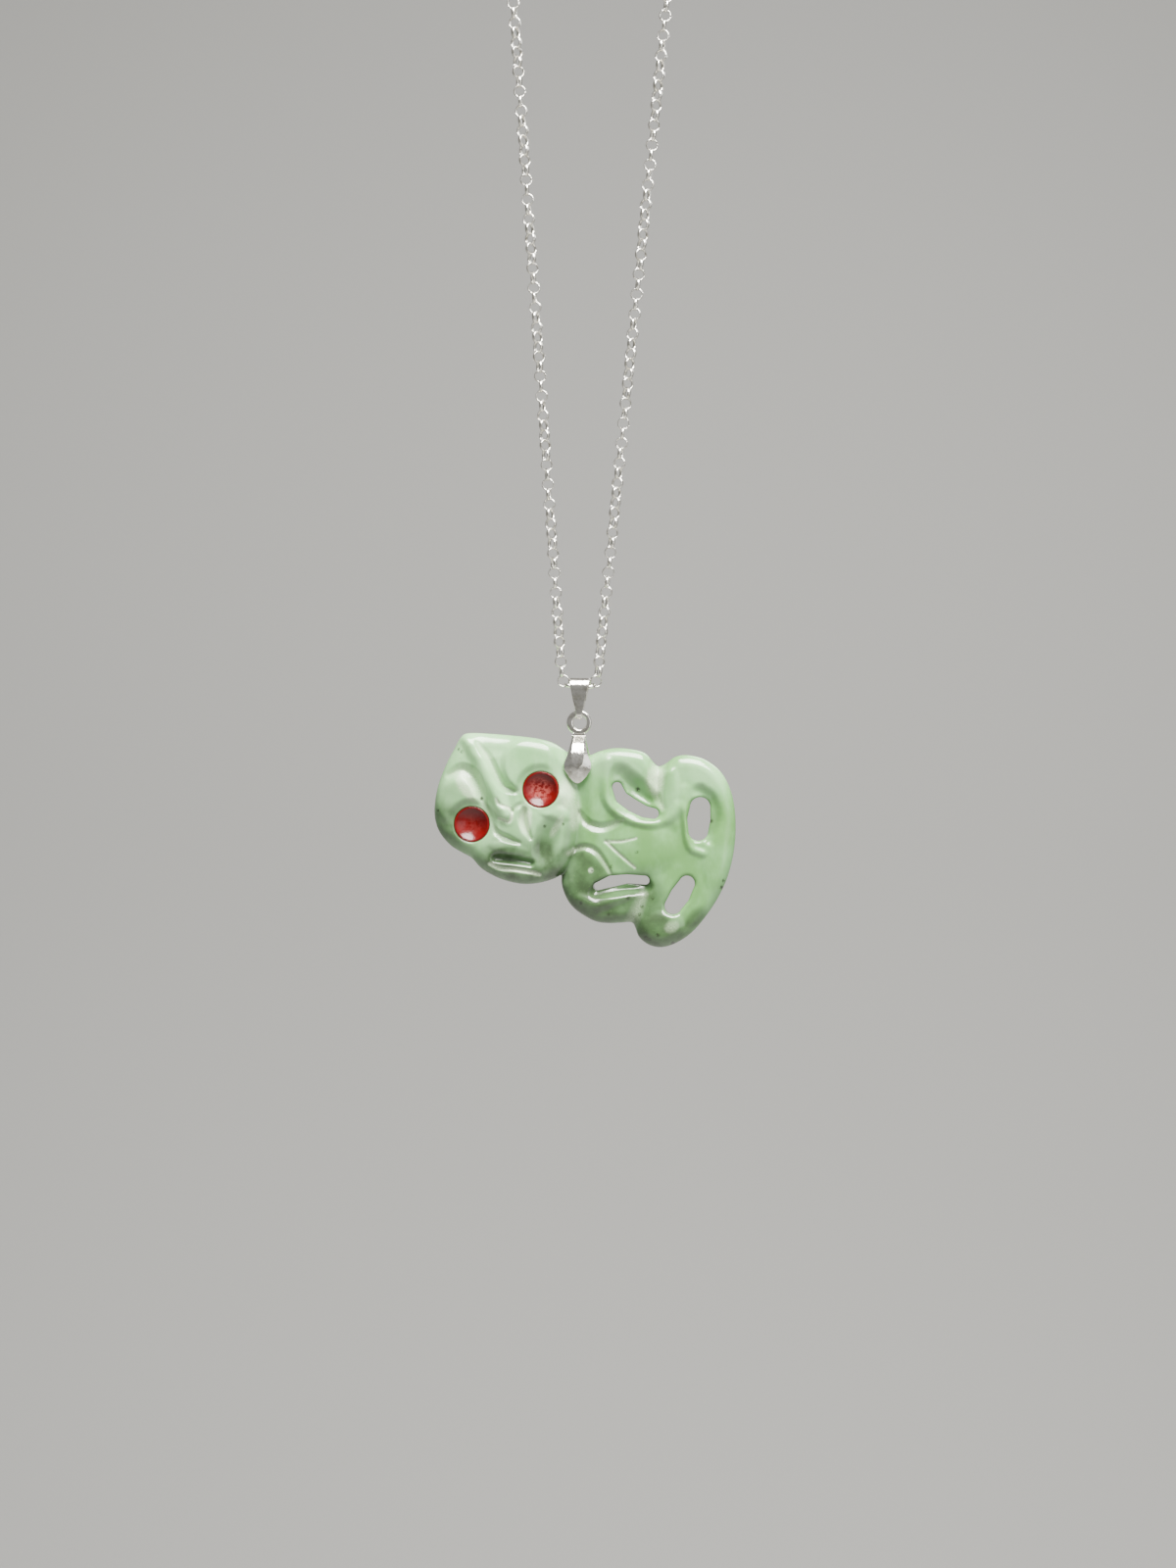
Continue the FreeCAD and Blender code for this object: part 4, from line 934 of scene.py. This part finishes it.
def ring_centres():
    """Places along the top run: the clasp's eye, both jump rings and the chain's end links."""
    eye = CLASP_RADIUS + CLASP_WIRE / 2 + CLASP_EYE
    right = eye + CLASP_EYE - (CLASP_EYE_WIRE + JUMP_WIRE) / 2 - METAL_GAP + JUMP_RADIUS
    left = CLASP_RADIUS - (CLASP_WIRE + JUMP_WIRE) / 2 - METAL_GAP + JUMP_RADIUS
    link = JUMP_RADIUS - (JUMP_WIRE + END_LINK_WIRE) / 2 - METAL_GAP + END_LINK
    return eye, right, left, right + link, left + link


clasp_eye, right_jump, left_jump, right_link, left_link = ring_centres()


def chain_points():
    """The chain's middle line, from the right end link round to the left one."""
    turn = math.pi / 2 - STRAND_LEAN
    low = (BEND_HALF_RUN + BEND_RADIUS * math.sin(turn), BEND_RADIUS * (1 - math.cos(turn)))
    corner = math.pi / 2 + STRAND_LEAN
    radius = LOOP_HEIGHT - low[1] - (TOP_HALF_RUN - low[0]) / math.tan(STRAND_LEAN)
    radius /= 1 + math.sin(STRAND_LEAN) + math.cos(STRAND_LEAN) / math.tan(STRAND_LEAN)
    bends = ((TOP_HALF_RUN, LOOP_HEIGHT - radius, radius, math.pi / 2, corner, CORNER_STEPS),
             (BEND_HALF_RUN, BEND_RADIUS, BEND_RADIUS, -STRAND_LEAN, turn, BEND_STEPS))
    half = []
    for x, z, reach, start, swing, steps in bends:
        for k in range(steps + 1):
            angle = start - swing * k / steps
            half.append((x + reach * math.cos(angle), z + reach * math.sin(angle)))
    right = [(right_link, LOOP_HEIGHT)] + half
    left = [(-x, z) for x, z in reversed(half)] + [(-left_link, LOOP_HEIGHT)]
    return [CHAIN + Vector((x, 0, z)) * MM for x, z in right + left]


class Tree(Nodes):
    """A Geometry Nodes tree with named inputs."""

    def __init__(self, name, inputs):
        self.tree = bpy.data.node_groups.new(name, "GeometryNodeTree")
        self.sockets = {}
        self.tree.interface.new_socket("Geometry", in_out="INPUT", socket_type="NodeSocketGeometry")
        for label, (kind, value) in inputs.items():
            socket = self.tree.interface.new_socket(label, in_out="INPUT", socket_type="NodeSocket" + kind)
            self.sockets[label] = (socket.identifier, value)
        self.tree.interface.new_socket("Geometry", in_out="OUTPUT", socket_type="NodeSocketGeometry")
        self.start = self.tree.nodes.new("NodeGroupInput")
        self.end = self.tree.nodes.new("NodeGroupOutput")

    def given(self, label):
        return self.start.outputs[label]

    def math(self, kind, a, b=0.0):
        return self.add("ShaderNodeMath", {0: a, 1: b}, operation=kind).outputs[0]

    def vector(self, kind, sockets):
        return self.add("ShaderNodeVectorMath", sockets, operation=kind).outputs[0]

    def circle(self, sides, radius):
        sockets = {"Resolution": sides, "Radius": radius}
        return self.add("GeometryNodeCurvePrimitiveCircle", sockets).outputs[0]

    def finish(self, geometry, material):
        real = self.add("GeometryNodeRealizeInstances", {"Geometry": geometry}).outputs[0]
        done = self.add("GeometryNodeSetMaterial", {"Geometry": real, "Material": material}).outputs[0]
        self.tree.links.new(done, self.end.inputs[0])

    def mesh_from(self, draft, name):
        """Runs the tree on a draft object and returns the plain mesh, removing the draft."""
        modifier = draft.modifiers.new(name, "NODES")
        modifier.node_group = self.tree
        for identifier, value in self.sockets.values():
            modifier[identifier] = value
        plain = bpy.data.meshes.new_from_object(draft.evaluated_get(bpy.context.evaluated_depsgraph_get()))
        plain.name = name
        draft.modifiers.remove(modifier)
        bpy.data.objects.remove(draft)
        return plain


def chain_tree(material):
    t = Tree("rolo_chain", {
        "Links": ("Int", LINKS),
        "Slide": ("Float", SLIDE * MM),
        "Middle Link": ("Float", float(MIDDLE_LINK)),
        "Right Twist": ("Float", math.pi * RIGHT_HALF_TURNS / (LINKS / 2 - 1)),
        "Left Twist": ("Float", math.pi * LEFT_HALF_TURNS / (LINKS / 2 - 1)),
        "Link Radius": ("Float", (LINK_OUTER - LINK_WIRE[0]) / 2 * MM),
        "Wire Thickness": ("Float", LINK_WIRE[0] * MM),
        "Wire Height": ("Float", LINK_WIRE[1] * MM),
    })
    length = t.add("GeometryNodeCurveLength", {"Curve": t.given("Geometry")}).outputs[0]
    gaps = t.math("SUBTRACT", t.given("Links"), 1.0)
    pitch = t.math("DIVIDE", length, gaps)
    index = t.add("GeometryNodeInputIndex").outputs[0]
    stops = t.add("GeometryNodeMeshLine", {"Count": t.math("ADD", t.given("Links"), 1.0)}).outputs[0]
    along = t.math("MULTIPLY", t.math("SUBTRACT", index, 0.5), pitch)
    from_middle = t.math("ABSOLUTE", t.math("SUBTRACT", index, t.given("Middle Link")))
    share = t.math("DIVIDE", from_middle, t.given("Middle Link"))
    hump = t.math("MAXIMUM", t.math("SUBTRACT", 1.0, share))
    shifted = t.math("ADD", along, t.math("MULTIPLY", hump, t.given("Slide")))
    sample = t.add("GeometryNodeSampleCurve", {"Curves": t.given("Geometry"), "Length": shifted},
                   mode="LENGTH").outputs
    beyond = t.math("MINIMUM", shifted)
    past = t.math("MAXIMUM", t.math("SUBTRACT", shifted, length))
    ahead = t.vector("SCALE", {0: sample["Tangent"], "Scale": t.math("ADD", beyond, past)})
    place = t.vector("ADD", {0: sample["Position"], 1: ahead})
    strung = t.add("GeometryNodeSetPosition", {"Geometry": stops, "Position": place}).outputs[0]
    ends = t.add("GeometryNodeInputMeshEdgeVertices").outputs
    reach = t.vector("SUBTRACT", {0: ends["Position 2"], 1: ends["Position 1"]})
    kept = t.add("GeometryNodeCaptureAttribute", {"Geometry": strung}, domain="EDGE")
    kept.capture_items.new("VECTOR", "reach")
    t.feed(kept.inputs["reach"], reach)
    middles = t.add("GeometryNodeMeshToPoints", {"Mesh": kept.outputs[0]}, mode="EDGES").outputs[0]
    aimed = t.add("FunctionNodeAlignRotationToVector", {"Vector": kept.outputs["reach"]}, axis="X",
                  pivot_axis="Y").outputs[0]
    right = t.math("MULTIPLY", t.math("MINIMUM", index, LINKS / 2 - 1), t.given("Right Twist"))
    left = t.math("MAXIMUM", t.math("SUBTRACT", index, LINKS / 2))
    left = t.math("MULTIPLY", left, t.given("Left Twist"))
    quarter = t.math("MULTIPLY", index, math.pi / 2)
    roll = t.add("ShaderNodeCombineXYZ", {"X": t.math("ADD", quarter, t.math("ADD", right, left))})
    turn = t.add("FunctionNodeEulerToRotation", {0: roll.outputs[0]}).outputs[0]
    rolled = t.add("FunctionNodeRotateRotation", {0: aimed, 1: turn}, rotation_space="LOCAL").outputs[0]
    circle = t.circle(LINK_SIDES[0], t.given("Link Radius"))
    section = t.circle(LINK_SIDES[1], 0.5)
    squeeze = t.add("ShaderNodeCombineXYZ", {0: t.given("Wire Thickness"), 1: t.given("Wire Height"), 2: 1.0})
    wire = t.add("GeometryNodeTransform", {"Geometry": section, "Scale": squeeze.outputs[0]}).outputs[0]
    link = t.add("GeometryNodeCurveToMesh", {"Curve": circle, "Profile Curve": wire}).outputs[0]
    link = t.add("GeometryNodeSetShadeSmooth", {"Geometry": link}).outputs[0]
    strand = t.add("GeometryNodeInstanceOnPoints", {"Points": middles, "Instance": link, "Rotation": rolled})
    t.finish(strand.outputs[0], material)
    return t


def draft_line(name, points):
    line = bpy.data.curves.new(name, "CURVE")
    line.dimensions = "3D"
    spline = line.splines.new("POLY")
    spline.points.add(len(points) - 1)
    for held, place in zip(spline.points, points):
        held.co = (*place, 1)
    draft = bpy.data.objects.new(name, line)
    bpy.context.scene.collection.objects.link(draft)
    return draft


chain_silver = silver("chain_silver", 0.35)
links = chain_tree(chain_silver).mesh_from(draft_line("chain_line", chain_points()), "chain_links")
piece("rolo_chain", links, "necklace", ["chain"], chain_silver)

# The clasp and its jump rings: plain round silver wire rings behind the neck, each through the next.
# The clasp is a closed ring with a small soldered eye and three collars, as a spring ring has.
# angle round the ring in degrees, half length along it, extra radius
CLASP_COLLARS = [(25, 9, 0.06), (-25, 9, 0.06), (135, 12, 0.05)]
COLLAR_FADE = 3
WIRE_SIDES = 20


def wire_ring(mesh, middle, radius, wire, normal, steps=72, collars=()):
    """A torus, thickened where it has collars."""
    across = Vector((1, 0, 0))
    up = normal.cross(across)
    rings = []
    for k in range(steps):
        turn = 2 * math.pi * k / steps
        out = across * math.cos(turn) + up * math.sin(turn)
        thick = wire / 2
        for angle, half, extra in collars:
            away = abs((math.degrees(turn) - angle + 180) % 360 - 180)
            thick += extra * float(smooth((half - away) / COLLAR_FADE + 0.5))
        ring = []
        for j in range(WIRE_SIDES):
            angle = 2 * math.pi * j / WIRE_SIDES
            side = out * (radius + thick * math.cos(angle))
            ring.append((middle + side + normal * thick * math.sin(angle)) * MM)
        rings.append(ring)
    bridge(mesh, rings, True)


DEEP_AXIS = Vector((0, 1, 0))
UP = Vector((0, 0, 1))
clasp_mesh = bmesh.new()
wire_ring(clasp_mesh, Vector((0, 0, 0)), CLASP_RADIUS, CLASP_WIRE, DEEP_AXIS, 120, CLASP_COLLARS)
wire_ring(clasp_mesh, Vector((clasp_eye, 0, 0)), CLASP_EYE, CLASP_EYE_WIRE, UP)
ring_silver = silver("ring_silver", 0.3)
piece("clasp_ring", finished("clasp_ring", clasp_mesh, 0), "necklace", ["clasp"], ring_silver)
for name, x, normal in (("jump_ring_right", right_jump, DEEP_AXIS), ("jump_ring_left", -left_jump, UP)):
    jump_mesh = bmesh.new()
    wire_ring(jump_mesh, Vector((x, 0, 0)), JUMP_RADIUS, JUMP_WIRE, normal)
    piece(name + "_wire", finished(name, jump_mesh, 0), "necklace", [name], ring_silver)

# The studio: a pale sweep behind and under the hanging pendant, a large soft light above and slightly
# to the right as in the photograph, a weak wide one on the right and one behind for the edges.
SWEEP_FLOOR = -0.55
SWEEP_BACK = 0.75
SWEEP_CURVE = 0.3
SWEEP_REACH = 1.6
SWEEP_TOP = 1.2
SWEEP_STEPS = 16
WORLD_STRENGTH = 0.28
sweep = bmesh.new()
profile = [(-SWEEP_REACH, SWEEP_FLOOR)]
for k in range(SWEEP_STEPS + 1):
    angle = math.pi / 2 * k / SWEEP_STEPS
    profile.append((SWEEP_BACK - SWEEP_CURVE + SWEEP_CURVE * math.sin(angle),
                    SWEEP_FLOOR + SWEEP_CURVE * (1 - math.cos(angle))))
profile.append((SWEEP_BACK, SWEEP_TOP))
left, right = ([sweep.verts.new((x, y, z)) for y, z in profile] for x in (-SWEEP_REACH, SWEEP_REACH))
for k in range(len(profile) - 1):
    sweep.faces.new((left[k], right[k], right[k + 1], left[k + 1]))
sweep_mesh = bpy.data.meshes.new("paper_sweep")
sweep.to_mesh(sweep_mesh)
sweep.free()
sweep_mesh.shade_smooth()
paper = Finish("pale_paper", Base_Color=(0.44, 0.44, 0.425, 1), Roughness=0.9)
sweep_mesh.materials.append(paper.material)
backdrop = bpy.data.objects.new("paper_sweep", sweep_mesh)
bpy.context.scene.collection.objects.link(backdrop)

# place, size, strength in watts, colour
LIGHTS = {
    "key": ((0.08, -0.19, 0.20), 0.34, 16.0, (1.0, 0.98, 0.95)),
    "right": ((0.45, -0.42, -0.16), 0.45, 1.1, (1.0, 1.0, 1.0)),
    "edge": ((0.14, 0.30, 0.05), 0.22, 0.8, (1.0, 1.0, 1.0)),
}
for name, (place, size, power, colour) in LIGHTS.items():
    lamp = bpy.data.lights.new(name, "AREA")
    lamp.size = size
    lamp.energy = power
    lamp.color = colour
    holder = bpy.data.objects.new(name, lamp)
    holder.location = place
    holder.rotation_euler = (HOLE - Vector(place)).to_track_quat("-Z", "Y").to_euler()
    bpy.context.scene.collection.objects.link(holder)
world = bpy.data.worlds.new("studio")
world.use_nodes = True
sky = world.node_tree.nodes["Background"].inputs
sky["Color"].default_value = (1.0, 1.0, 0.98, 1)
sky["Strength"].default_value = WORLD_STRENGTH
bpy.context.scene.world = world

# The camera: level with the pendant, a little to its right, turned so that the chain leans as it does
# in the photograph.
PHOTO_SCALE = 6.4
PHOTO_HOLE = (590, 786)
PHOTO_MIDDLE = (600, 800)
CAMERA_AZIMUTH = math.radians(3)
CAMERA_DISTANCE = 0.4
CAMERA_LENS = 57.6
aim = HOLE + Vector(((PHOTO_MIDDLE[0] - PHOTO_HOLE[0]) / PHOTO_SCALE, 0,
                     -(PHOTO_MIDDLE[1] - PHOTO_HOLE[1]) / PHOTO_SCALE)) * MM
back = Vector((math.sin(CAMERA_AZIMUTH), -math.cos(CAMERA_AZIMUTH), 0))
camera_data = bpy.data.cameras.new("camera")
camera_data.lens = CAMERA_LENS
camera_data.sensor_width = 36
camera_data.clip_start = 0.01
camera = bpy.data.objects.new("camera", camera_data)
camera.rotation_mode = "QUATERNION"
camera.location = aim + back * CAMERA_DISTANCE
roll = Matrix.Rotation(HANG_TURN, 3, "Z").to_quaternion()
camera.rotation_quaternion = (-back).to_track_quat("-Z", "Y") @ roll
bpy.context.scene.collection.objects.link(camera)
bpy.context.scene.camera = camera
